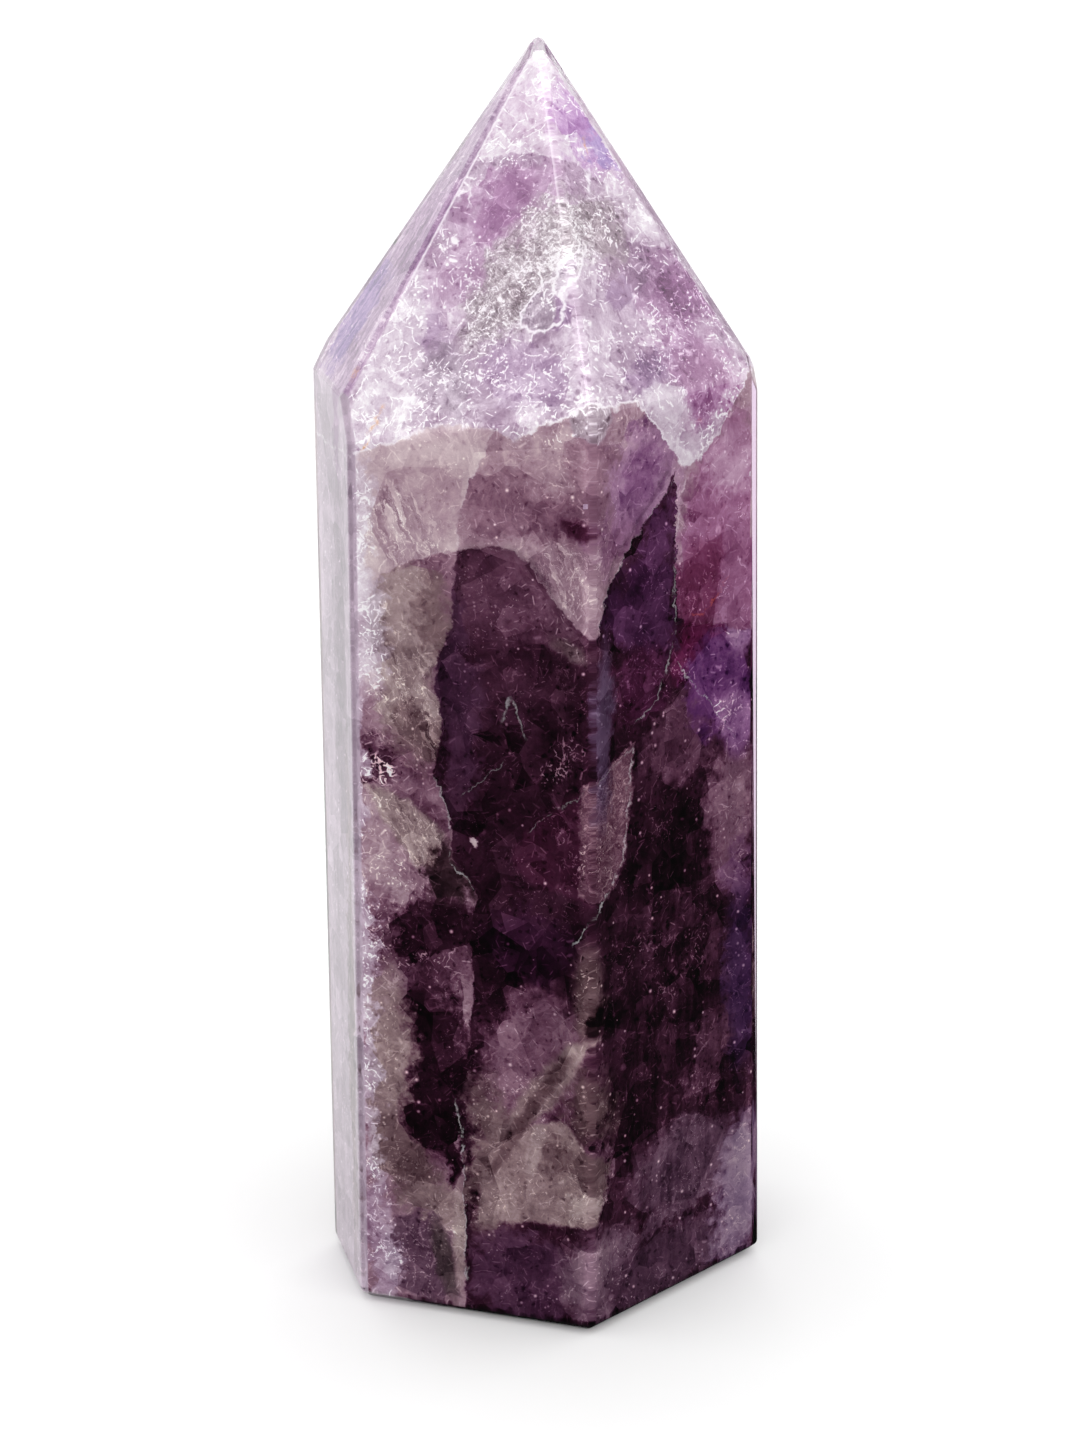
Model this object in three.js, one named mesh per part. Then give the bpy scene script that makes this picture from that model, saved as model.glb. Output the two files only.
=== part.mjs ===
// A polished amethyst generator: one piece of amethyst, cut and polished as a six-sided tower that
// stands on a sawn base and ends in a six-sided point.
//
// The stone is made the way it is ground. Every facet is a plane, the stone is what lies behind all
// of them, and polishing rounds the edges where they meet. Millimetres, +Z up, standing on Z = 0,
// with the widest front facets facing -Y.
import * as THREE from 'three';
import { ConvexGeometry } from 'three/addons/geometries/ConvexGeometry.js';

const HEIGHT = 120.4; // base to the sharp meeting point of the tip facets, before polishing
const EDGE_RADIUS = 0.6; // left by polishing on every edge, and on the point
const BASE_BEVEL = 1.1; // ground round the foot, so that the base edge doesn't chip
const BEVEL_SLOPE = 45; // of that bevel, in degrees from the floor
const ARC_STEPS = 3; // flat strips across a rounded edge
const SAME_POINT = 1e-4; // corners closer than this are one corner

// The facets come in pairs, going round the tower: a tall side facet, and the tip facet over it.
// facing: compass angle of the side facet's outward direction, from +X towards +Y, in degrees
// reach: how far the side facet stands from the axis at the base
// lean: how far it leans inwards with height, in degrees
// tipFacing, tipSlope: the tip facet's own direction, and its slope from the horizontal
const FACET_PAIRS = [
  { facing: 196.3, reach: 20.7, lean: 0.2, tipFacing: 199, tipSlope: 56.9 }, // left, narrow
  { facing: 253.1, reach: 17.9, lean: -0.3, tipFacing: 247.7, tipSlope: 61 }, // front left, tip ground low
  { facing: 314.2, reach: 17.9, lean: 0, tipFacing: 312.4, tipSlope: 59.6 }, // front right
  { facing: 15.6, reach: 20.4, lean: 1.8, tipFacing: 15.7, tipSlope: 58.9 }, // right, narrow
  { facing: 73, reach: 19.2, lean: 0.3, tipFacing: 73, tipSlope: 57.3 }, // back right
  { facing: 135.7, reach: 14.3, lean: -0.7, tipFacing: 137, tipSlope: 61 }, // back left
];
const POINT = new THREE.Vector3(-0.25, -0.1, HEIGHT); // where the tip facets meet

// Shoulder corners that were eased by hand, each with a small flat of its own.
// near: two side facets, by place in the list; slope: of the flat; cut: depth taken off the corner
const EASED_CORNERS = [
  { near: [2, 3], slope: 74, cut: 0.45 }, // right shoulder
  { near: [3, 4], slope: 74, cut: 0.35 }, // behind it
  { near: [5, 0], slope: 75, cut: 0.2 }, // left shoulder
];

const AMETHYST = new THREE.MeshStandardMaterial({ color: 0x6b4a76, roughness: 0.08, metalness: 0 });

// The outward direction of a facet that faces a compass angle and slopes from the horizontal.
function outward(facing, slope) {
  const turn = THREE.MathUtils.degToRad(facing);
  const rise = THREE.MathUtils.degToRad(slope);
  return new THREE.Vector3(
    Math.cos(turn) * Math.sin(rise),
    Math.sin(turn) * Math.sin(rise),
    Math.cos(rise),
  );
}

function planeThrough(direction, point) {
  return { normal: direction, distance: direction.dot(point) };
}

function sideFacet({ facing, reach, lean }) {
  const direction = outward(facing, 90 - lean);
  const foot = outward(facing, 90).multiplyScalar(reach);
  return planeThrough(direction, foot);
}

function tipFacet({ tipFacing, tipSlope }) {
  return planeThrough(outward(tipFacing, tipSlope), POINT);
}

// The bevel leaves each side facet BASE_BEVEL above the floor, and meets the floor as far inside it.
function footBevel({ facing, reach }) {
  const direction = outward(facing, 180 - BEVEL_SLOPE);
  const edge = outward(facing, 90).multiplyScalar(reach).setZ(BASE_BEVEL);
  return planeThrough(direction, edge);
}

// The point where three planes meet, or null if they don't.
function meetingPoint(a, b, c) {
  const bc = b.normal.clone().cross(c.normal);
  const spread = a.normal.dot(bc);
  if (Math.abs(spread) < 1e-7) return null;
  const ca = c.normal.clone().cross(a.normal);
  const ab = a.normal.clone().cross(b.normal);
  return bc.multiplyScalar(a.distance)
    .addScaledVector(ca, b.distance)
    .addScaledVector(ab, c.distance)
    .divideScalar(spread);
}

// A small flat across the corner where two side facets and the first one's tip facet meet.
function easedCorner({ near, slope, cut }, sides, tips) {
  const [first, second] = near;
  const corner = meetingPoint(sides[first], sides[second], tips[first]);
  const middle = sides[first].normal.clone().add(sides[second].normal);
  const facing = THREE.MathUtils.radToDeg(Math.atan2(middle.y, middle.x));
  const flat = planeThrough(outward(facing, slope), corner);
  return { normal: flat.normal, distance: flat.distance - cut };
}

// Every corner of the solid behind all the planes, each with the list of planes through it.
function cornersOf(planes) {
  const corners = [];
  for (let i = 0; i < planes.length; i++) {
    for (let j = i + 1; j < planes.length; j++) {
      for (let k = j + 1; k < planes.length; k++) {
        const point = meetingPoint(planes[i], planes[j], planes[k]);
        if (!point) continue;
        if (planes.some((p) => p.normal.dot(point) > p.distance + SAME_POINT)) continue;
        if (corners.some((c) => c.point.distanceTo(point) < SAME_POINT)) continue;
        const touching = planes.filter((p) => p.normal.dot(point) > p.distance - SAME_POINT);
        corners.push({ point, touching });
      }
    }
  }
  return corners;
}

// The directions in which polishing leaves points round a corner: square to each facet, and in even
// steps from one facet to the next across each edge.
function polishedDirections(corner, corners) {
  const directions = corner.touching.map((plane) => plane.normal.clone());
  for (const a of corner.touching) {
    for (const b of corner.touching) {
      if (a === b) continue;
      const shareEdge = corners.some(
        (other) => other !== corner && other.touching.includes(a) && other.touching.includes(b),
      );
      if (!shareEdge) continue;
      const turn = new THREE.Quaternion().setFromUnitVectors(a.normal, b.normal);
      for (let step = 1; step < ARC_STEPS; step++) {
        const part = new THREE.Quaternion().slerp(turn, step / ARC_STEPS);
        directions.push(a.normal.clone().applyQuaternion(part));
      }
    }
  }
  const middle = new THREE.Vector3();
  for (const plane of corner.touching) middle.add(plane.normal);
  directions.push(middle.normalize());
  return directions;
}

// The solid behind all the planes, with its edges and corners rounded to a radius.
function polishedSolid(planes, radius) {
  const inner = planes.map((p) => ({ normal: p.normal, distance: p.distance - radius }));
  const corners = cornersOf(inner);
  const points = [];
  for (const corner of corners) {
    for (const direction of polishedDirections(corner, corners)) {
      points.push(corner.point.clone().addScaledVector(direction, radius));
    }
  }
  return new ConvexGeometry(points);
}

// Moves the solid so that it stands on Z = 0 with the middle of its outline over the origin.
function standAtOrigin(geometry) {
  geometry.computeBoundingBox();
  const { min, max } = geometry.boundingBox;
  return geometry.translate(-(min.x + max.x) / 2, -(min.y + max.y) / 2, -min.z);
}

function makeCrystal() {
  const sides = FACET_PAIRS.map(sideFacet);
  const tips = FACET_PAIRS.map(tipFacet);
  const bevels = FACET_PAIRS.map(footBevel);
  const eased = EASED_CORNERS.map((corner) => easedCorner(corner, sides, tips));
  const base = { normal: new THREE.Vector3(0, 0, -1), distance: 0 };
  const solid = polishedSolid([base, ...bevels, ...sides, ...eased, ...tips], EDGE_RADIUS);
  const crystal = new THREE.Mesh(standAtOrigin(solid), AMETHYST);
  crystal.name = 'amethyst_crystal';
  return crystal;
}

const generator = new THREE.Group();
generator.add(makeCrystal());

export default generator;
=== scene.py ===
"""A polished amethyst tower in a plain white studio.

The stone is clear, polished amethyst with its inclusions inside: a cloudy body with dark and milky
zones, internal fractures, and fine specks. Glints and highlights of the fractures and specks,
highlights along two edges of the tip, a reflection by the front edge and shade at the foot are
painted into the colour of the inclusions. Every length, place and height in
this file is in millimetres, unless it says otherwise, and becomes metres where a mesh or a node
takes it. Facing the stone, X goes to the right, Y to the back and Z up.
"""

import logging
import math
from dataclasses import dataclass, field
from enum import Enum

import bmesh
import bpy
from mathutils import Matrix, Vector, noise


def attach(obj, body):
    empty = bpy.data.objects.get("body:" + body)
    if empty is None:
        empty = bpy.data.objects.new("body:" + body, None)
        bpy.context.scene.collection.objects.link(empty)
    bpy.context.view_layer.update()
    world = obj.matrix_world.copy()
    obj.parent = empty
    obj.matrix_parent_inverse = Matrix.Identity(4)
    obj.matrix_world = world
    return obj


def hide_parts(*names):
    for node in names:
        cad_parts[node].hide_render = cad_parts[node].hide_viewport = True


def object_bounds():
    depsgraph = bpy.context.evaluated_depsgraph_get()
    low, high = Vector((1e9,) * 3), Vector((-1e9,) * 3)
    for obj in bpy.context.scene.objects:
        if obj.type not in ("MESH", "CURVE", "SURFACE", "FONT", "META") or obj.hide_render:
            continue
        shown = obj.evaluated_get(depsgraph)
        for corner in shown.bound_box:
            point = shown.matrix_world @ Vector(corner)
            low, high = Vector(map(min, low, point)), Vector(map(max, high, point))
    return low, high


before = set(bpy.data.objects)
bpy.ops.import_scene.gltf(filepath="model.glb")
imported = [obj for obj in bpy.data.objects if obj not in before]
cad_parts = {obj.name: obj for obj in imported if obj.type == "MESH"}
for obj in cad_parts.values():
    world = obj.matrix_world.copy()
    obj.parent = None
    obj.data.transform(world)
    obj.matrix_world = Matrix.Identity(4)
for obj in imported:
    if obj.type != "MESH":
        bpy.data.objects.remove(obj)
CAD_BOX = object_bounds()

LOG = logging.getLogger("amethyst tower")
METRES = 0.001  # one millimetre in metres
STONE_NODE = "amethyst_crystal"

Triple = tuple[float, float, float]
Colour = Triple
Place = tuple[float, float]
Socket = bpy.types.NodeSocket
Tree = bpy.types.NodeTree

RIGHTWARDS: Triple = (1.0, 0.0, 0.0)
BACKWARDS: Triple = (0.0, 1.0, 0.0)
FORWARDS: Triple = (0.0, -1.0, 0.0)
UPWARDS: Triple = (0.0, 0.0, 1.0)
MIDDLE: Triple = (0.5, 0.5, 0.5)  # the average of three random numbers from 0 to 1
WHITE = (1.0, 1.0, 1.0, 1.0)
NO_GRAIN: Triple = (0.0, 0.0, 0.0)  # no fibres and no streaks

RAGGED_REACH = 5.5  # millimetres that a ragged outline may stray
LINE_REACH = 1.5  # millimetres that a thin line may stray
LINE_END = 0.6  # millimetres over which a thin line begins and ends
SOFTEST = 0.95  # of an egg's smaller half: the widest that its edge may fade to each side
FAR_INSIDE = 100.0  # millimetres, more than any place in the stone lies from a facet
NEIGHBOURS = 0.25  # facets whose directions agree by less than this share no edge that matters


def srgb(red: int, green: int, blue: int) -> Colour:
    """Turns a colour in 0 to 255 steps, as a screen shows it, into Blender's linear colour.

    Args:
        red: the red step.
        green: the green step.
        blue: the blue step.

    Returns:
        The linear colour.
    """
    def linear(step: int) -> float:
        """Turns one step into a linear share."""
        share = step / 255
        return share / 12.92 if share <= 0.04045 else ((share + 0.055) / 1.055) ** 2.4
    return linear(red), linear(green), linear(blue)


def ease(value: float, low: float, high: float) -> float:
    """Rises smoothly from 0 where value is low to 1 where it is high."""
    share = min(max((value - low) / (high - low), 0.0), 1.0)
    return share * share * (3 - 2 * share)


@dataclass
class NodeSketch:
    """Short names for the shader nodes that the finishes are drawn with.

    Every method adds one node or a few, and returns the socket that the next one reads.

    Attributes:
        tree: the node tree that is drawn in.
    """

    tree: Tree

    def node(self, kind: str, **settings: object) -> bpy.types.Node:
        """Adds a node and sets its properties.

        Args:
            kind: the node's type name, without ShaderNode.
            settings: its properties by name.

        Returns:
            The new node.
        """
        made = self.tree.nodes.new("ShaderNode" + kind)
        for name, value in settings.items():
            setattr(made, name, value)
        return made

    def feed(self, socket: Socket, value: object) -> None:
        """Links a socket to an input, or sets the input to a plain value.

        Args:
            socket: the input.
            value: the socket or the plain value. None leaves the input as it is.
        """
        if isinstance(value, Socket):
            self.tree.links.new(value, socket)
        elif value is not None:
            socket.default_value = value

    def math(self, operation: str, a: object, b: object = None, c: object = None) -> Socket:
        """Adds a Math node.

        Args:
            operation: what it does.
            a: the first number.
            b: the second number, where there is one.
            c: the third number, where there is one.

        Returns:
            Its result.
        """
        made = self.node("Math", operation=operation)
        for socket, value in zip(made.inputs, (a, b, c)):
            self.feed(socket, value)
        return made.outputs[0]

    def plus(self, a: object, b: object) -> Socket:
        """Adds two numbers."""
        return self.math("ADD", a, b)

    def times(self, a: object, b: object) -> Socket:
        """Multiplies two numbers."""
        return self.math("MULTIPLY", a, b)

    def rising(self, start: object, rise: object, value: object) -> Socket:
        """Starts at one number, and rises by another for each 1 in a value."""
        return self.math("MULTIPLY_ADD", value, rise, start)

    def swing(self, value: object, most: object) -> Socket:
        """Turns a value about 0.5 into one about 0, and scales it."""
        return self.times(self.math("SUBTRACT", value, 0.5), most)

    def vector(self, operation: str, a: object, b: object = None, scale: object = None) -> Socket:
        """Adds a Vector Math node.

        Args:
            operation: what it does.
            a: the first vector.
            b: the second vector, where there is one.
            scale: the number that SCALE takes.

        Returns:
            Its vector, or its value where it gives a number.
        """
        made = self.node("VectorMath", operation=operation)
        self.feed(made.inputs[0], a)
        if b is not None:
            self.feed(made.inputs[1], b)
        if scale is not None:
            self.feed(made.inputs["Scale"], scale)
        return made.outputs["Value" if operation == "DOT_PRODUCT" else "Vector"]

    def dot(self, a: object, b: object) -> Socket:
        """Multiplies two vectors into a number: how far one reaches along the other."""
        return self.vector("DOT_PRODUCT", a, b)

    def mix(self, a: object, b: object, share: object) -> Socket:
        """Mixes two vectors or colours, from a at a share of 0 to b at a share of 1.

        Args:
            a: the first value.
            b: the second value.
            share: how much of b there is.

        Returns:
            The mixed value.
        """
        made = self.node("Mix", data_type="VECTOR", clamp_factor=True)
        first, second = (put for put in made.inputs if put.enabled and put.type == "VECTOR")
        self.feed(made.inputs[0], share)
        self.feed(first, a)
        self.feed(second, b)
        return made.outputs[1]

    def remap(self, value: object, low: object, high: object,
              to_low: object = 0.0, to_high: object = 1.0, smooth: bool = True) -> Socket:
        """Maps a number from one range to another.

        Args:
            value: the number.
            low: where the first range starts.
            high: where the first range ends.
            to_low: what low becomes.
            to_high: what high becomes.
            smooth: eases both ends.

        Returns:
            The mapped number, kept inside the second range.
        """
        made = self.node("MapRange", interpolation_type="SMOOTHSTEP" if smooth else "LINEAR", clamp=True)
        for socket, part in zip(made.inputs, (value, low, high, to_low, to_high)):
            self.feed(socket, part)
        return made.outputs[0]

    def thrice(self, value: object) -> Socket:
        """Makes a vector of one number, three times over."""
        return self.vector("SCALE", (1.0, 1.0, 1.0), scale=value)

    def parts(self, vector: object) -> tuple[Socket, Socket, Socket]:
        """Takes a vector apart.

        Args:
            vector: the vector.

        Returns:
            Its three numbers.
        """
        made = self.node("SeparateXYZ")
        self.feed(made.inputs[0], vector)
        return made.outputs[0], made.outputs[1], made.outputs[2]

    def noise(self, point: object, per_mm: object, detail: float = 4.0, rough: float = 0.55,
              bend: float = 0.0, output: str = "Fac", kind: str = "FBM") -> Socket:
        """Adds cloudy noise in space.

        Args:
            point: where it is read.
            per_mm: how many lumps there are to a millimetre.
            detail: how many finer layers are added.
            rough: how strong the finer layers are.
            bend: how far the pattern is pushed out of shape.
            output: Fac for one noise, Color for three at once.
            kind: how the layers are put together.

        Returns:
            The noise, about 0.5 on average for the plain kind.
        """
        made = self.node("TexNoise", noise_dimensions="3D", noise_type=kind)
        if kind == "RIDGED_MULTIFRACTAL":
            made.inputs["Offset"].default_value = 0.8
            made.inputs["Gain"].default_value = 2.0
        values = {"Vector": point, "Scale": per_mm, "Detail": detail, "Roughness": rough, "Distortion": bend}
        for name, value in values.items():
            self.feed(made.inputs[name], value)
        return made.outputs[output]

    def cells(self, point: object, per_mm: object) -> bpy.types.Node:
        """Adds a pattern of cells round random points.

        Args:
            point: where it is read.
            per_mm: how many cells there are to a millimetre.

        Returns:
            The pattern's node.
        """
        made = self.node("TexVoronoi", voronoi_dimensions="3D", feature="F1")
        self.feed(made.inputs["Vector"], point)
        self.feed(made.inputs["Scale"], per_mm)
        return made

    def stretched(self, point: object, turn: Triple, scale: Triple) -> Socket:
        """Turns space, and stretches it along each turned axis.

        Args:
            point: where it is read.
            turn: the angles about X, Y and Z, in degrees.
            scale: how far it is stretched along each axis.

        Returns:
            The point in that space.
        """
        made = self.node("Mapping", vector_type="TEXTURE")
        self.feed(made.inputs["Vector"], point)
        self.feed(made.inputs["Rotation"], tuple(math.radians(angle) for angle in turn))
        self.feed(made.inputs["Scale"], scale)
        return made.outputs[0]

    def effect(self, tree: Tree, **values: object) -> bpy.types.Node:
        """Places a node group and feeds its inputs.

        Args:
            tree: the group.
            values: what each input is fed. An underscore in a name stands for a space.

        Returns:
            The group's node.
        """
        made = self.node("Group", node_tree=tree)
        for name, value in values.items():
            self.feed(made.inputs[name.replace("_", " ")], value)
        return made

    def group(self, tree: Tree, **values: object) -> Socket:
        """Places a node group as effect() does, and returns its first output."""
        return self.effect(tree, **values).outputs[0]

    def millimetres(self) -> Socket:
        """Gives the point in the object's own space, in millimetres."""
        return self.vector("SCALE", self.node("TexCoord").outputs["Object"], scale=1 / METRES)


@dataclass(frozen=True)
class EffectSketch:
    """A shader node group that is being drawn.

    Attributes:
        tree: the group's tree.
        draw: the sketch that draws in it.
        results: the sockets that its outputs read.
    """

    tree: Tree
    draw: NodeSketch
    results: list[Socket]

    @classmethod
    def start(
        cls, name: str, inputs: dict[str, str], outputs: dict[str, str],
    ) -> tuple["EffectSketch", NodeSketch, dict[str, Socket]]:
        """Starts a group.

        Args:
            name: the group's name.
            inputs: the type of each input, Float, Vector or Color, by its name.
            outputs: the type of each output by its name.

        Returns:
            The group, the sketch that draws in it, and its inputs by name.
        """
        tree = bpy.data.node_groups.new(name, "ShaderNodeTree")
        for socket, kind in inputs.items():
            tree.interface.new_socket(name=socket, in_out="INPUT", socket_type="NodeSocket" + kind)
        for socket, kind in outputs.items():
            tree.interface.new_socket(name=socket, in_out="OUTPUT", socket_type="NodeSocket" + kind)
        entry = tree.nodes.new("NodeGroupInput")
        leaving = tree.nodes.new("NodeGroupOutput")
        given = {socket: entry.outputs[socket] for socket in inputs}
        made = cls(tree, NodeSketch(tree), [leaving.inputs[socket] for socket in outputs])
        return made, made.draw, given

    def finish(self, *values: object) -> Tree:
        """Feeds the outputs.

        Args:
            values: what each output is fed, in their order.

        Returns:
            The finished group.
        """
        for socket, value in zip(self.results, values):
            self.draw.feed(socket, value)
        return self.tree


class Effects:
    """The shader groups that the finishes share, each built once.

    Attributes:
        dusty_share: the share of the cells that hold a dust spot.
        reshuffle: makes a second random number out of a first one.
    """

    dusty_share: float = 0.45
    reshuffle: float = 37.0

    def __init__(self) -> None:
        """Builds the groups."""
        self.ragged = self._ragged()
        self.flakes = self._flakes()
        self.clouds = self._clouds()
        self.dust = self._dust()
        self.fibres = self._fibres()
        self.splinters = self._splinters()
        self.glints = self._glints()
        self.specks = self._specks()

    def _ragged(self) -> Tree:
        """Pushes a point about with coarse and fine noise, so that outlines drawn there are ragged.

        Returns:
            The group. Near is a point that is a little ragged, and Ragged one that is far more so.
        """
        made, s, given = EffectSketch.start(
            "Ragged point", {"Point": "Vector"}, {"Near": "Vector", "Ragged": "Vector"},
        )
        coarse = s.noise(given["Point"], per_mm=0.16, detail=2.0, output="Color")
        coarse = s.vector("SUBTRACT", coarse, MIDDLE)
        fine = s.noise(given["Point"], per_mm=0.9, detail=4.0, rough=0.62, output="Color")
        fine = s.vector("SUBTRACT", fine, MIDDLE)

        def moved(most_coarse: float, most_fine: float) -> Socket:
            """Pushes the point that far."""
            pushed = s.vector("ADD", given["Point"], s.vector("SCALE", coarse, scale=most_coarse))
            return s.vector("ADD", pushed, s.vector("SCALE", fine, scale=most_fine))

        return made.finish(moved(0.9, 1.4), moved(3.5, 4.5))

    def _flakes(self) -> Tree:
        """Draws angular flakes between healed cracks, each shaded from one side to the other.

        Returns:
            The group. Its Amount is about 0 on average, and its Jump leads to the middle of the flake.
        """
        made, s, given = EffectSketch.start(
            "Crystal flakes", {"Point": "Vector", "Per mm": "Float"}, {"Amount": "Float", "Jump": "Vector"},
        )
        pattern = s.cells(given["Point"], given["Per mm"])
        jump = s.vector("SUBTRACT", pattern.outputs["Position"], given["Point"])
        way = s.vector("SUBTRACT", pattern.outputs["Color"], MIDDLE)
        slope = s.dot(s.vector("SCALE", jump, scale=given["Per mm"]), way)
        shade = s.swing(s.parts(pattern.outputs["Color"])[0], 2.2)
        return made.finish(s.rising(shade, 3.0, slope), jump)

    def _clouds(self) -> Tree:
        """Draws milky clouds with nearly as much fine grain in them as coarse.

        Returns:
            The group. Its Amount is about 0 on average.
        """
        made, s, given = EffectSketch.start("Milky clouds", {"Point": "Vector"}, {"Amount": "Float"})
        cloud = s.noise(given["Point"], per_mm=0.28, detail=5.0, rough=0.86, bend=0.3)
        return made.finish(s.swing(cloud, 9.0))

    def _dust(self) -> Tree:
        """Draws soft round spots of different sizes in some of the cells.

        Returns:
            The group. Its Mask is 1 in the middle of a spot.
        """
        made, s, given = EffectSketch.start(
            "Dust spots", {"Point": "Vector", "Per mm": "Float"}, {"Mask": "Float"},
        )
        pattern = s.cells(given["Point"], given["Per mm"])
        chance, size, _ = s.parts(pattern.outputs["Color"])
        reach = s.rising(0.2, 0.4, size)
        spot = s.remap(pattern.outputs["Distance"], 0.08, reach, 1.0, 0.0)
        return made.finish(s.times(spot, s.math("LESS_THAN", chance, self.dusty_share)))

    def _fibres(self) -> Tree:
        """Draws fine fibres along the height of the space that is given.

        Returns:
            The group. Its Mask is 1 in the middle of a fibre.
        """
        made, s, given = EffectSketch.start(
            "Fibres", {"Space": "Vector", "Thickness": "Float"}, {"Mask": "Float"},
        )
        cloud = s.noise(given["Space"], per_mm=0.8, detail=2.0, rough=0.5)
        off = s.math("ABSOLUTE", s.math("SUBTRACT", cloud, 0.5))
        return made.finish(s.remap(off, 0.0, given["Thickness"], 1.0, 0.0))

    def _splinters(self) -> Tree:
        """Draws small flat cracks, at most one to a cell, which show as short hairlines.

        Returns:
            The group. Its Mask is 1 in the middle of a hairline.
        """
        made, s, given = EffectSketch.start(
            "Splinters", {"Point": "Vector", "Per mm": "Float", "Thickness": "Float", "Share": "Float"},
            {"Mask": "Float"},
        )
        pattern = s.cells(given["Point"], given["Per mm"])
        across = s.vector("NORMALIZE", s.vector("SUBTRACT", pattern.outputs["Color"], MIDDLE))
        away = s.vector("SUBTRACT", given["Point"], pattern.outputs["Position"])
        off = s.math("ABSOLUTE", s.dot(away, across))
        line = s.remap(off, 0.0, given["Thickness"], 1.0, 0.0)
        ended = s.remap(pattern.outputs["Distance"], 0.35, 0.65, 1.0, 0.0)
        chance = s.math("FRACT", s.times(s.parts(pattern.outputs["Color"])[0], self.reshuffle))
        shown = s.remap(chance, 0.0, given["Share"], 1.0, 0.0, smooth=False)
        return made.finish(s.times(s.times(line, ended), shown))

    def _glints(self) -> Tree:
        """Draws short bright curved strokes in patches: painted glints, where small fractures would catch the
        light.

        Returns:
            The group. Its Mask is 1 where a stroke is brightest.
        """
        made, s, given = EffectSketch.start(
            "Glints", {"Point": "Vector", "Amount": "Float"}, {"Mask": "Float"},
        )
        folds = s.noise(given["Point"], per_mm=1.1, detail=4.0, rough=0.65, bend=0.5,
                        kind="RIDGED_MULTIFRACTAL")
        least = s.remap(given["Amount"], 0.0, 1.0, 1.25, 0.7, smooth=False)
        patches = s.remap(s.noise(given["Point"], per_mm=0.26, detail=3.0), 0.44, 0.6)
        strokes = s.remap(folds, least, s.plus(least, 0.3))
        return made.finish(s.times(strokes, patches))

    def _specks(self) -> Tree:
        """Draws pinpoints of different sizes in some of the cells.

        Returns:
            The group. Its Mask is 1 in the middle of a pinpoint.
        """
        made, s, given = EffectSketch.start(
            "Specks", {"Point": "Vector", "Per mm": "Float", "Size": "Float", "Share": "Float"},
            {"Mask": "Float"},
        )
        pattern = s.cells(given["Point"], given["Per mm"])
        chance, other, _ = s.parts(pattern.outputs["Color"])
        size = s.times(given["Size"], s.rising(0.35, 0.9, other))
        dot = s.remap(pattern.outputs["Distance"], 0.0, size, 1.0, 0.0)
        chosen = s.math("LESS_THAN", chance, given["Share"])
        return made.finish(s.times(dot, chosen))


@dataclass(frozen=True)
class Facet:
    """One polished plane of the stone.

    Attributes:
        normal: its outward direction.
        distance: how far it lies from the origin.
    """

    normal: Vector
    distance: float

    def gap(self, point: Vector) -> float:
        """How far inside the facet a point lies."""
        return self.distance - self.normal.dot(point)


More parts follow.
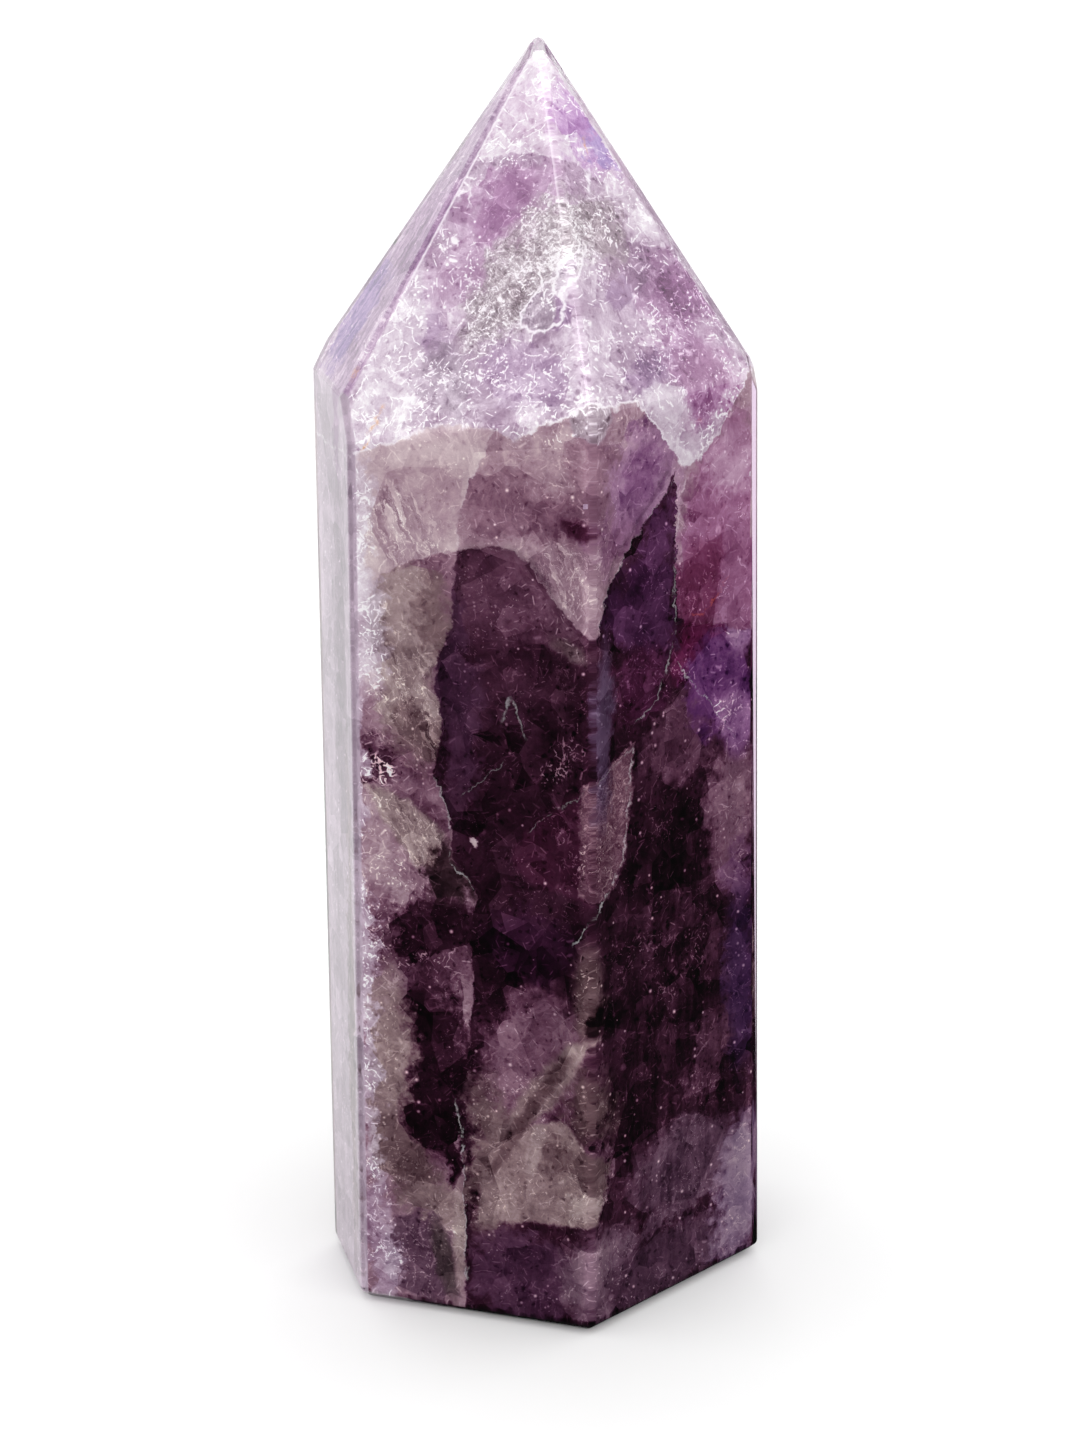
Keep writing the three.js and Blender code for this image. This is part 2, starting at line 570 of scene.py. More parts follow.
@dataclass
class StoneForm:
    """The ground shape of the stone, read from the CAD node.

    Attributes:
        smallest: facets under this many square millimetres are rounded edges, and left out.
        same_digits: faces whose directions agree to so many digits lie in one facet.
        level: the direction of a side facet rises or falls by less than this.
        shows: a facet shows from a side when its direction comes that way by more than this.
        blank: the side of the cube that the shape is cut from, as a share of the stone's longest.
        on_cut: a corner closer to a cut than this lies on it.
        facets: the side facets, the tip facets and the base.
    """

    smallest: float = 100.0
    same_digits: int = 2
    level: float = 0.2
    shows: float = 0.15
    blank: float = 2.2
    on_cut: float = 1e-5
    facets: list[Facet] = field(default_factory=list)

    def __post_init__(self) -> None:
        """Groups the CAD node's triangles into facets."""
        groups: dict[tuple[float, ...], list] = {}
        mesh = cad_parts[STONE_NODE].data
        for face in mesh.polygons:
            key = tuple(round(part, self.same_digits) for part in face.normal)
            corner = mesh.vertices[face.vertices[0]].co / METRES
            group = groups.setdefault(key, [0.0, face.normal.copy(), corner])
            group[0] += face.area / METRES**2
        for area, normal, corner in groups.values():
            if area > self.smallest:
                self.facets.append(Facet(normal, normal.dot(corner)))
        LOG.info("%d facets read from the frame", len(self.facets))

    def surface(self, across: float, height: float, depth: float, seen_from: float = 0.0) -> Vector:
        """Finds a point behind the facets that one side shows.

        Args:
            across: millimetres right of the middle, as that side shows it.
            height: millimetres above the floor.
            depth: millimetres behind the polished surface.
            seen_from: where it is seen from, in degrees to the right of the front.

        Returns:
            The point.
        """
        turn = math.radians(seen_from)
        right = Vector((math.cos(turn), math.sin(turn), 0.0))
        away = Vector((-math.sin(turn), math.cos(turn), 0.0))
        start = right * across + Vector((0.0, 0.0, height))
        return start + away * max(
            (facet.distance - depth - facet.normal.dot(start)) / facet.normal.dot(away)
            for facet in self.facets if facet.normal.dot(away) < -self.shows
        )

    def facet(self, facing: float, on_tip: bool) -> Facet:
        """Finds the facet that faces nearest to a compass angle.

        Args:
            facing: the angle, from +X towards +Y, in degrees.
            on_tip: looks among the tip facets instead of the side facets.

        Returns:
            The facet.
        """
        turn = math.radians(facing)
        way = Vector((math.cos(turn), math.sin(turn), 0.0))
        low, high = (self.level, 1.0) if on_tip else (-self.level, self.level)
        kind = [facet for facet in self.facets if low < facet.normal.z < high]
        return max(kind, key=lambda facet: way.dot(facet.normal))

    def nearest(self, point: Vector) -> Facet:
        """Finds the facet that a point lies nearest to."""
        return min(self.facets, key=lambda facet: facet.gap(point))

    def edge_distance(self, point: Vector) -> float:
        """How far a point lies from the nearest edge between two facets, roughly."""
        return sorted(facet.gap(point) for facet in self.facets)[1]

    def block(self, depth: float) -> bmesh.types.BMesh:
        """Cuts the shape that lies so many millimetres behind every facet.

        Args:
            depth: millimetres taken off every facet.

        Returns:
            The closed shape.
        """
        low, high = (Vector(corner) / METRES for corner in CAD_BOX)
        cut = bmesh.new()
        bmesh.ops.create_cube(cut, size=self.blank * max(high - low))
        for facet in self.facets:
            everything = cut.verts[:] + cut.edges[:] + cut.faces[:]
            sliced = bmesh.ops.bisect_plane(
                cut, geom=everything, dist=self.on_cut, clear_outer=True,
                plane_co=facet.normal * (facet.distance - depth), plane_no=facet.normal,
            )
            rim = [part for part in sliced["geom_cut"] if isinstance(part, bmesh.types.BMEdge)]
            bmesh.ops.contextual_create(cut, geom=rim)
        bmesh.ops.recalc_face_normals(cut, faces=cut.faces)
        return cut


def finished_piece(name: str, shape: bmesh.types.BMesh, *finishes: bpy.types.Material) -> bpy.types.Object:
    """Makes an object of a shape, in metres, and lets it ride with the stone.

    Args:
        name: the piece's name.
        shape: its mesh, which is used up.
        finishes: its finishes. Each face names its own by number.

    Returns:
        The new object.
    """
    shape.transform(Matrix.Scale(METRES, 4))
    mesh = bpy.data.meshes.new(name)
    shape.to_mesh(mesh)
    shape.free()
    for finish in finishes:
        mesh.materials.append(finish)
    mesh.shade_smooth()
    piece = bpy.data.objects.new(name, mesh)
    bpy.context.collection.objects.link(piece)
    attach(piece, "root")
    LOG.info("%s: %d faces", name, len(mesh.polygons))
    return piece


def new_material(name: str) -> tuple[bpy.types.Material, NodeSketch, bpy.types.Node]:
    """Starts a material.

    Args:
        name: the material's name.

    Returns:
        The material, a sketch that draws in it, and its Principled BSDF.
    """
    material = bpy.data.materials.new(name)
    material.use_nodes = True
    return material, NodeSketch(material.node_tree), material.node_tree.nodes["Principled BSDF"]


@dataclass(frozen=True)
class ClearAmethyst:
    """The finish of the polished, see-through amethyst at the surface.

    Attributes:
        ior: how strongly quartz bends light.
        roughness: what the polish leaves.
        lets_through: the colour of the light that it lets through.
        density: how fast it colours light, per metre.
    """

    ior: float = 1.544
    roughness: float = 0.03
    lets_through: Colour = (0.62, 0.25, 0.62)
    density: float = 26.0

    def material(self) -> bpy.types.Material:
        """Builds the material.

        Returns:
            The material.
        """
        made, s, surface = new_material("clear polished amethyst")
        surface.inputs["Base Color"].default_value = WHITE
        surface.inputs["Roughness"].default_value = self.roughness
        surface.inputs["IOR"].default_value = self.ior
        surface.inputs["Transmission Weight"].default_value = 1.0
        inside = s.node("VolumeAbsorption")
        inside.inputs["Color"].default_value = (*self.lets_through, 1.0)
        inside.inputs["Density"].default_value = self.density
        s.feed(made.node_tree.nodes["Material Output"].inputs["Volume"], inside.outputs[0])
        return made


@dataclass
class PolishedSkin:
    """The outside of the stone, as it was ground and polished.

    Attributes:
        finish: the clear amethyst that it is made of.
        same_point: corners of the CAD mesh closer together than this are one corner.
        flat: faces that turn by fewer degrees than this are one face.
        large_faces: how strongly the large faces set the shading of the edges, where 50 is even.
    """

    finish: ClearAmethyst = ClearAmethyst()
    same_point: float = 1e-4
    flat: float = 0.3
    large_faces: int = 100

    def build(self) -> bpy.types.Object:
        """Merges a copy of the CAD mesh and shades its rounded edges smooth.

        Returns:
            The skin.
        """
        shape = bmesh.new()
        shape.from_mesh(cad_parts[STONE_NODE].data)
        shape.transform(Matrix.Scale(1 / METRES, 4))
        bmesh.ops.remove_doubles(shape, verts=shape.verts, dist=self.same_point)
        bmesh.ops.dissolve_limit(
            shape, angle_limit=math.radians(self.flat), verts=shape.verts, edges=shape.edges,
        )
        skin = finished_piece("polished_amethyst", shape, self.finish.material())
        shading = skin.modifiers.new("flat facets and smooth edges", "WEIGHTED_NORMAL")
        shading.weight = self.large_faces
        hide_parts(STONE_NODE)
        return skin


class Part(Enum):
    """A part of the stone's inside with a finish of its own, and the heights it lies between."""

    PRISM = ("lower amethyst inclusions", -5.0, 81.0)
    SHOULDER = ("shoulder amethyst inclusions", 81.0, 93.5)
    TIP = ("tip amethyst inclusions", 93.5, 125.0)
    BEHIND = ("hidden amethyst inclusions", -5.0, 125.0)

    @property
    def finish_name(self) -> str:
        """The name of its finish."""
        return self.value[0]

    def reaches(self, low: float, high: float) -> bool:
        """Whether something between two heights shows in it."""
        _, foot, top = self.value
        return low < top and high > foot


@dataclass(frozen=True)
class Look:
    """How a part of the stone's inside is textured.

    Attributes:
        level: its milkiness, from 0, deep and dark, to 1, milky.
        mottle: how far the milkiness varies.
        sparkle: how strongly the painted glints of small fractures show in it, 0 to 1.
    """

    level: float
    mottle: float = 0.1
    sparkle: float = 0.3

    def channels(self) -> Triple:
        """Gives the three values as one vector, which is mixed from zone to zone."""
        return self.level, self.mottle, self.sparkle


@dataclass(frozen=True)
class Paint:
    """What has been painted so far, as sockets of a material or plain values.

    Attributes:
        look: milkiness, mottling and sparkle, as one vector.
        milk: the colour where the stone is milky.
        tint: how fast red, green and blue fade where what shows lies deep in amethyst, as one vector.
        grain: strength of the crossed fibres, the upright streaks and the slanted streaks, as one vector.
    """

    look: object
    milk: object
    tint: object
    grain: object = NO_GRAIN

    def under(self, s: NodeSketch, upper: "Paint", share: object) -> "Paint":
        """Paints another finish over this one.

        Args:
            s: the material's sketch.
            upper: the finish that goes over it. Where a part of it is None, that part stays.
            share: how far the upper finish covers, from 0 to 1.

        Returns:
            Both finishes together.
        """
        def mixed(lower: object, top: object) -> object:
            """Mixes one part of the finishes."""
            return lower if top is None else s.mix(lower, top, share)
        return Paint(
            mixed(self.look, upper.look), mixed(self.milk, upper.milk),
            mixed(self.tint, upper.tint), mixed(self.grain, upper.grain),
        )


@dataclass(frozen=True)
class Egg:
    """An egg-shaped area, as it is seen from one side.

    Attributes:
        across: millimetres right of the middle.
        height: millimetres above the floor.
        wide: half its width.
        tall: half its height.
        tilt: how far its top leans to the right, in degrees.
        seen_from: where it is seen from, in degrees to the right of the front.
        deep: half its depth into the stone.
    """

    across: float
    height: float
    wide: float
    tall: float
    tilt: float = 0.0
    seen_from: float = 0.0
    deep: float = 12.0

    def heights(self) -> tuple[float, float]:
        """Finds the heights that it lies between.

        Returns:
            The lower and the upper height.
        """
        lean = math.radians(self.tilt)
        reach = math.hypot(self.wide * math.sin(lean), self.tall * math.cos(lean))
        return self.height - reach, self.height + reach

    def mask(self, s: NodeSketch, stone: "StoneInside", point: object, edge: float) -> Socket:
        """Draws the egg: 1 inside and 0 outside.

        Args:
            s: the material's sketch.
            stone: the inside of the stone.
            point: where it is read.
            edge: half the width over which it fades.

        Returns:
            The mask.
        """
        centre = stone.form.surface(self.across, self.height, stone.depth, self.seen_from)
        away = s.vector("SUBTRACT", point, centre)
        turn = Matrix.Rotation(math.radians(self.seen_from), 3, "Z")
        turn @= Matrix.Rotation(math.radians(self.tilt), 3, "Y")
        if self.tilt or self.seen_from:
            reach: object = 0.0
            for axis, half in zip(turn.col, (self.wide, self.deep, self.tall)):
                along = s.dot(away, axis / half)
                reach = s.math("MULTIPLY_ADD", along, along, reach)
        else:
            scaled = s.vector("DIVIDE", away, (self.wide, self.deep, self.tall))
            reach = s.dot(scaled, scaled)
        soft = min(edge / min(self.wide, self.tall), SOFTEST)
        return s.remap(reach, (1 - soft) ** 2, (1 + soft) ** 2, 1.0, 0.0)


@dataclass(frozen=True)
class Panel:
    """An area of the front of the stone with straight sides and no hollow corner.

    Attributes:
        corners: its corners, (across, height), in order round it.
        deep: how far it reaches into the stone.
    """

    corners: tuple[Place, ...]
    deep: float = 12.0

    def heights(self) -> tuple[float, float]:
        """Finds the heights that it lies between.

        Returns:
            The lower and the upper height.
        """
        heights = [height for _, height in self.corners]
        return min(heights), max(heights)

    def mask(self, s: NodeSketch, stone: "StoneInside", point: object, edge: float) -> Socket:
        """Draws the panel: 1 inside and 0 outside.

        Args:
            s: the material's sketch.
            stone: the inside of the stone.
            point: where it is read.
            edge: half the width over which it fades.

        Returns:
            The mask.
        """
        middle = Vector((0.0, 0.0))
        for corner in self.corners:
            middle += Vector(corner) / len(self.corners)
        front = stone.form.surface(middle.x, middle.y, stone.depth).y
        inward = s.math("SUBTRACT", front + self.deep, s.dot(point, BACKWARDS))
        for first, second in zip(self.corners, self.corners[1:] + self.corners[:1]):
            side = Vector(second) - Vector(first)
            square = Vector((-side.y, side.x)).normalized()
            offset = square.dot(Vector(first))
            if square.dot(middle) < offset:
                square, offset = -square, -offset
            reach = s.dot(point, (square.x, 0.0, square.y))
            inward = s.math("MINIMUM", inward, s.math("SUBTRACT", reach, offset))
        return s.remap(inward, -edge, edge)


@dataclass(frozen=True)
class Side:
    """What lies behind one facet of the stone, as far as the edges round that facet.

    Attributes:
        facing: the compass angle that the facet faces, from +X towards +Y, in degrees.
        on_tip: it is a tip facet.
    """

    facing: float
    on_tip: bool = False

    def mask(self, s: NodeSketch, stone: "StoneInside", point: object, edge: float) -> Socket:
        """Draws what lies behind the facet: 1 inside and 0 outside.

        Args:
            s: the material's sketch.
            stone: the inside of the stone.
            point: where it is read.
            edge: half the width over which it fades.

        Returns:
            The mask.
        """
        own = stone.form.facet(self.facing, self.on_tip)
        inward: object = FAR_INSIDE
        for other in stone.form.facets:
            if other is own or other.normal.dot(own.normal) < NEIGHBOURS:
                continue
            reach = s.dot(point, other.normal - own.normal)
            gap = s.math("SUBTRACT", other.distance - own.distance, reach)
            inward = s.math("MINIMUM", inward, gap)
        return s.remap(inward, -edge, edge)


@dataclass(frozen=True)
class Outline:
    """A line across the front of the stone.

    Attributes:
        points: places in the front view, (across, height), in order along the line.
        runs_up: the line runs up the stone, instead of across it.
    """

    points: tuple[Place, ...]
    runs_up: bool = False

    @classmethod
    def up(cls, *points: Place) -> "Outline":
        """Makes a line that runs up the stone."""
        return cls(points, runs_up=True)

    def steps(self) -> list[Place]:
        """Gives each place as how far along the line it is, and how far off to the side."""
        return sorted((place[1], place[0]) if self.runs_up else place for place in self.points)

    def shows_in(self, part: Part) -> bool:
        """Whether any of the line lies in a part of the inside."""
        heights = [place[1] for place in self.points]
        return part.reaches(min(heights) - LINE_REACH, max(heights) + LINE_REACH)

    def past(self, s: NodeSketch, point: object) -> Socket:
        """Measures how far a point lies above the line, or to the right of one that runs up.

        Args:
            s: the material's sketch.
            point: where it is read.

        Returns:
            The distance in millimetres, below 0 on the line's other side.
        """
        steps = self.steps()
        first, last = steps[0][0], steps[-1][0]
        low, high = min(step[1] for step in steps), max(step[1] for step in steps)
        across = s.dot(point, RIGHTWARDS)
        height = s.dot(point, UPWARDS)
        along, off = (height, across) if self.runs_up else (across, height)
        share = s.remap(along, first, last, smooth=False)
        made = s.node("FloatCurve")
        s.feed(made.inputs["Value"], share)
        curve = made.mapping.curves[0]
        for index, (step, side) in enumerate(steps):
            place = ((step - first) / (last - first), (side - low) / (high - low))
            if index < 2:  # a new curve has two points already
                curve.points[index].location = place
            else:
                curve.points.new(*place)
        for handle in curve.points:
            handle.handle_type = "VECTOR"
        made.mapping.update()
        line = s.remap(made.outputs[0], 0.0, 1.0, low, high, smooth=False)
        return s.math("SUBTRACT", off, line)

    def past_here(self, point: Vector) -> float:
        """Measures what past() does, for one point.

        Args:
            point: the point.

        Returns:
            The distance in millimetres.
        """
        steps = self.steps()
        along, off = (point.z, point.x) if self.runs_up else (point.x, point.z)
        along = min(max(along, steps[0][0]), steps[-1][0])
        for (first, low), (last, high) in zip(steps, steps[1:]):
            if along <= last:
                return off - (low + (high - low) * (along - first) / (last - first))
        return off - steps[-1][1]


@dataclass(frozen=True)
class Crack:
    """A healed crack that shows as a thin bright line on the front of the stone: partly its own pale colour
    and partly a painted reflection of the light that it catches.

    Attributes:
        what: the crack, in words.
        line: where it runs.
        thick: how thick it looks.
        glow: how bright it is.
    """

    what: str
    line: Outline
    thick: float = 0.13
    glow: float = 0.5

    def mask(self, s: NodeSketch, point: object, part: Part) -> Socket:
        """Draws the line.

        Args:
            s: the material's sketch.
            point: where it is read.
            part: the part of the inside that it is drawn in.

        Returns:
            Its brightness, 0 away from it.
        """
        steps = self.line.steps()
        along = s.dot(point, UPWARDS if self.line.runs_up else RIGHTWARDS)
        off = s.math("ABSOLUTE", self.line.past(s, point))
        drawn = s.remap(off, 0.0, self.thick, self.glow, 0.0)
        begun = s.remap(along, steps[0][0], steps[0][0] + LINE_END)
        ended = s.remap(along, steps[-1][0] - LINE_END, steps[-1][0], 1.0, 0.0)
        away = FORWARDS if part is Part.BEHIND else BACKWARDS
        shows = s.math("LESS_THAN", s.dot(point, away), 0.0)
        return s.times(s.times(drawn, shows), s.times(begun, ended))


@dataclass(frozen=True)
class LineSet:
    """Cracks that are painted together.

    Attributes:
        colour: the colour that they shine in.
        cracks: the cracks.
        broken: they show only here and there along their way.
    """

    colour: Colour
    cracks: tuple[Crack, ...]
    broken: bool = True


@dataclass(frozen=True)
class EdgeHighlight:
    """A painted highlight along an edge between two facets, where a rounded edge would catch the light.

    Attributes:
        what: the edge, in words.
        sides: the two facets.
        low: where it begins above the floor.
        high: where it ends.
        glow: how bright it is.
        thick: how thick it looks.
        begins: millimetres over which it begins.
        ends: millimetres over which it ends.
        behind: it is drawn as far back as this behind the middle of the stone.
    """

    what: str
    sides: tuple[Side, Side]
    low: float
    high: float
    glow: float = 0.5
    thick: float = 0.16
    begins: float = 4.0
    ends: float = 1.0
    behind: float = 0.5

    def mask(self, s: NodeSketch, form: StoneForm, point: object) -> Socket:
        """Draws the painted highlight along the edge.

        Args:
            s: the material's sketch.
            form: the stone's form.
            point: where it is read.

        Returns:
            Its brightness, 0 away from it.
        """
        first, second = (form.facet(side.facing, side.on_tip) for side in self.sides)
        reach = s.dot(point, second.normal - first.normal)
        off = s.math("ABSOLUTE", s.math("SUBTRACT", second.distance - first.distance, reach))
        drawn = s.remap(off, 0.0, self.thick, self.glow, 0.0)
        height = s.dot(point, UPWARDS)
        begun = s.remap(height, self.low, self.low + self.begins)
        ended = s.remap(height, self.high - self.ends, self.high, 1.0, 0.0)
        front = s.math("LESS_THAN", s.dot(point, BACKWARDS), self.behind)
        return s.times(s.times(drawn, front), s.times(begun, ended))


@dataclass(frozen=True)
class Zone:
    """A part of the stone with a finish of its own.

    Attributes:
        what: the part, in words.
        part: where it is.
        look: how it is textured. None leaves what lies under it.
        milk: its colour where it is milky. None leaves it.
        tint: how fast the colours fade with depth. None leaves it.
        grain: its fibres and streaks. None leaves them.
        edge: half the width over which it fades.
        crisp: its outline is only a little ragged.
    """

    what: str
    part: Egg | Panel
    look: Look | None = None
    milk: Colour | None = None
    tint: Triple | None = None
    grain: Triple | None = None
    edge: float = 1.0
    crisp: bool = False

    def shows_in(self, part: Part) -> bool:
        """Whether any of it lies in a part of the inside, however ragged its outline is."""
        low, high = self.part.heights()
        return part.reaches(low - self.edge - RAGGED_REACH, high + self.edge + RAGGED_REACH)

    def paint(self, s: NodeSketch, stone: "StoneInside", point: object, lower: Paint) -> Paint:
        """Paints the part.

        Args:
            s: the material's sketch.
            stone: the inside of the stone.
            point: where it is read.
            lower: what has been painted so far.

        Returns:
            What has been painted now.
        """
        share = self.part.mask(s, stone, point, self.edge)
        look = self.look.channels() if self.look else None
        return lower.under(s, Paint(look, self.milk, self.tint, self.grain), share)


@dataclass(frozen=True)
class Region:
    """A region of the stone between two of its outlines.

    Attributes:
        base: its finish where no zone lies.
        zones: its zones as the seen facets show them, painted in this order.
        hidden: its zones as the hidden facets show them.
    """

    base: Paint
    zones: tuple[Zone, ...]
    hidden: tuple[Zone, ...] = ()

    def paint(self, s: NodeSketch, stone: "StoneInside", near: object, ragged: object, part: Part) -> Paint:
        """Paints the region and its zones.

        Args:
            s: the material's sketch.
            stone: the inside of the stone.
            near: where its crisp zones are read.
            ragged: where its other zones are read.
            part: the part of the inside that it is painted in.

        Returns:
            What has been painted.
        """
        painted = self.base
        for zone in self.hidden if part is Part.BEHIND else self.zones:
            if zone.shows_in(part):
                painted = zone.paint(s, stone, near if zone.crisp else ragged, painted)
        return painted


# Milky colours as they show through the polished surface, with a painted highlight and a painted reflection
# among them.
ROSE_MILK = srgb(200, 177, 180)
GREY_MILK = srgb(200, 181, 174)
PINK_MILK = srgb(200, 165, 188)
WINE_MILK = srgb(200, 154, 175)
LILAC_MILK = srgb(222, 206, 220)
TIP_MILK = srgb(242, 235, 241)
TIP_SILVER = srgb(244, 240, 241)
FACET_MILK = srgb(216, 195, 214)
# Painted highlight: the white of the flash in the tip.
FLASH_HIGHLIGHT = srgb(252, 245, 250)
# Painted reflection: the grey blue of the reflection by the front edge.
BLUE_REFLECTION = srgb(200, 193, 208)

# Colours of the thin lines. The gold and the red are painted iridescent glints of cracks.
PALE_LINE = srgb(251, 249, 251)
GOLD_LINE = srgb(224, 172, 104)
RED_LINE = srgb(196, 88, 84)

# How fast red, green and blue fade where what shows lies deep in amethyst.
DUSK = (1.0, 1.36, 1.08)
PLUM = (1.0, 1.48, 1.12)
MAGENTA = (1.0, 1.6, 1.18)
WINE = (1.0, 1.8, 1.2)
VIOLET = (1.0, 1.4, 0.95)
HAZE = (1.0, 1.24, 1.0)
INDIGO = (1.0, 1.3, 0.85)
GREY = (1.0, 1.2, 1.08)
ORCHID = (1.0, 1.6, 1.05)
TIP_HAZE = (1.0, 1.4, 1.02)
TIP_VIOLET = (1.0, 1.35, 0.6)
SMOKE = (1.0, 1.1, 1.0)
CAP_VIOLET = (1.0, 1.85, 0.85)
SHOULDER_PINK = (1.0, 1.65, 1.1)
CORNER_PINK = (1.0, 2.0, 1.15)
VEIL_LILAC = (1.0, 1.35, 0.98)
EDGE_VIOLET = (1.0, 1.45, 0.88)
HEART_EDGE_TINT = (1.0, 1.32, 1.0)
FOOT_VIOLET = (1.0, 1.18, 0.78)

# Strength of the crossed fibres, the upright streaks and the slanted streaks.
CROSSED = (1.0, 0.0, 0.0)
SLANTED = (0.0, 0.0, 1.0)
WISPY = (0.0, 0.35, 0.0)
FAINT_STREAKS = (0.0, 0.22, 0.0)
STREAKS = (0.0, 0.8, 0.0)
HALF_CROSSED = (0.5, 0.0, 0.0)

# Outlines of the growth layers and the big fractures, as the front of the stone shows them.
SHOULDER = Outline((
    (-19, 83.7), (-17, 84.5), (-12.4, 86.1), (-10, 87.1), (-7.3, 87.6), (-4.6, 87.4), (-2.9, 86.4),
    (-1.3, 87.2), (-0.2, 88.1), (1.2, 88.4), (2.9, 89.2), (3.8, 89.7), (5.5, 89), (7.7, 89.2),
    (9.4, 86.8), (11.7, 83), (12.4, 82.8), (13.4, 83.3), (15.1, 85.5), (17, 88.5), (19, 92),
))
HEART_EDGE = Outline.up(
    (-7.5, 0), (-7.5, 10.6), (-7.6, 16.7), (-8.2, 22.9), (-6.9, 28.8), (-6.6, 34.9), (-6.9, 39.7),
    (-6.1, 43.7), (-8.1, 46.7), (-8.8, 51.6), (-10.1, 55), (-9.6, 57.9), (-9.3, 59.8), (-9.6, 63.2),
    (-9.5, 66.3), (-8.3, 68.9), (-7.9, 72.3), (-7.7, 76.1), (-7.4, 79.7), (-5.5, 84.7), (-4.4, 87.5),
    (-4.2, 90),
)
VEIL_HEM = Outline((
    (-8, 76.2), (-4.5, 76.6), (-2.5, 76.2), (-1.3, 75.2), (-0.2, 73.8), (1.4, 71.4), (3.2, 69.5),
    (4.1, 69), (4.6, 71), (5.1, 73.3), (6.2, 75.8), (9.5, 80.3), (10.9, 82.6), (11.3, 69), (13, 68),
    (16, 67), (19, 66),
))
ARCH = Outline(((-18, 68), (-16.5, 69.9), (-15.1, 73.1), (-12.4, 74.9), (-9.3, 75.9), (-7.7, 76.2)))
TIP_ARCH = Outline((
    (-9, 108.2), (-5.5, 109.2), (-2.9, 109.7), (-0.4, 109.8), (1.5, 109.2), (4, 107.8), (6, 106.2),
))

# Painted contact shade: the foot of the inside is painted dark, where its bevel meets the floor in shade.
FOOT_SHADE = Panel(((-24, -2), (24, -2), (24, 0.95), (-24, 0.95)), deep=24)

POINT_CAP = Region(
    Paint(Look(0.92, 0.08, 0.35).channels(), TIP_MILK, ORCHID),
    (
        Zone("pale very point", Egg(-0.5, 118.4, 1.6, 2), Look(0.98, 0.05, 0.2)),
        Zone("mauve blotch", Egg(-0.8, 113.6, 1.9, 1.3, 20), Look(0.8, 0.08, 0.2)),
        Zone("violet half", Egg(3.4, 111.8, 2.4, 4, -32), Look(0.73, 0.1, 0.4), tint=CAP_VIOLET),
        Zone("deep violet by the right edge", Egg(4.9, 110.4, 0.8, 2.2, -32), Look(0.62, 0.1, 0.3),
             tint=TIP_VIOLET, edge=0.4),
        Zone("white frost", Egg(-4.2, 111, 1.6, 0.7), Look(1.02, 0.12, 0.8)),
        Zone("pale band on the arch", Egg(-1.6, 110.2, 4.6, 0.6), Look(0.97, 0.06, 0.3), edge=0.4),
    ),
)

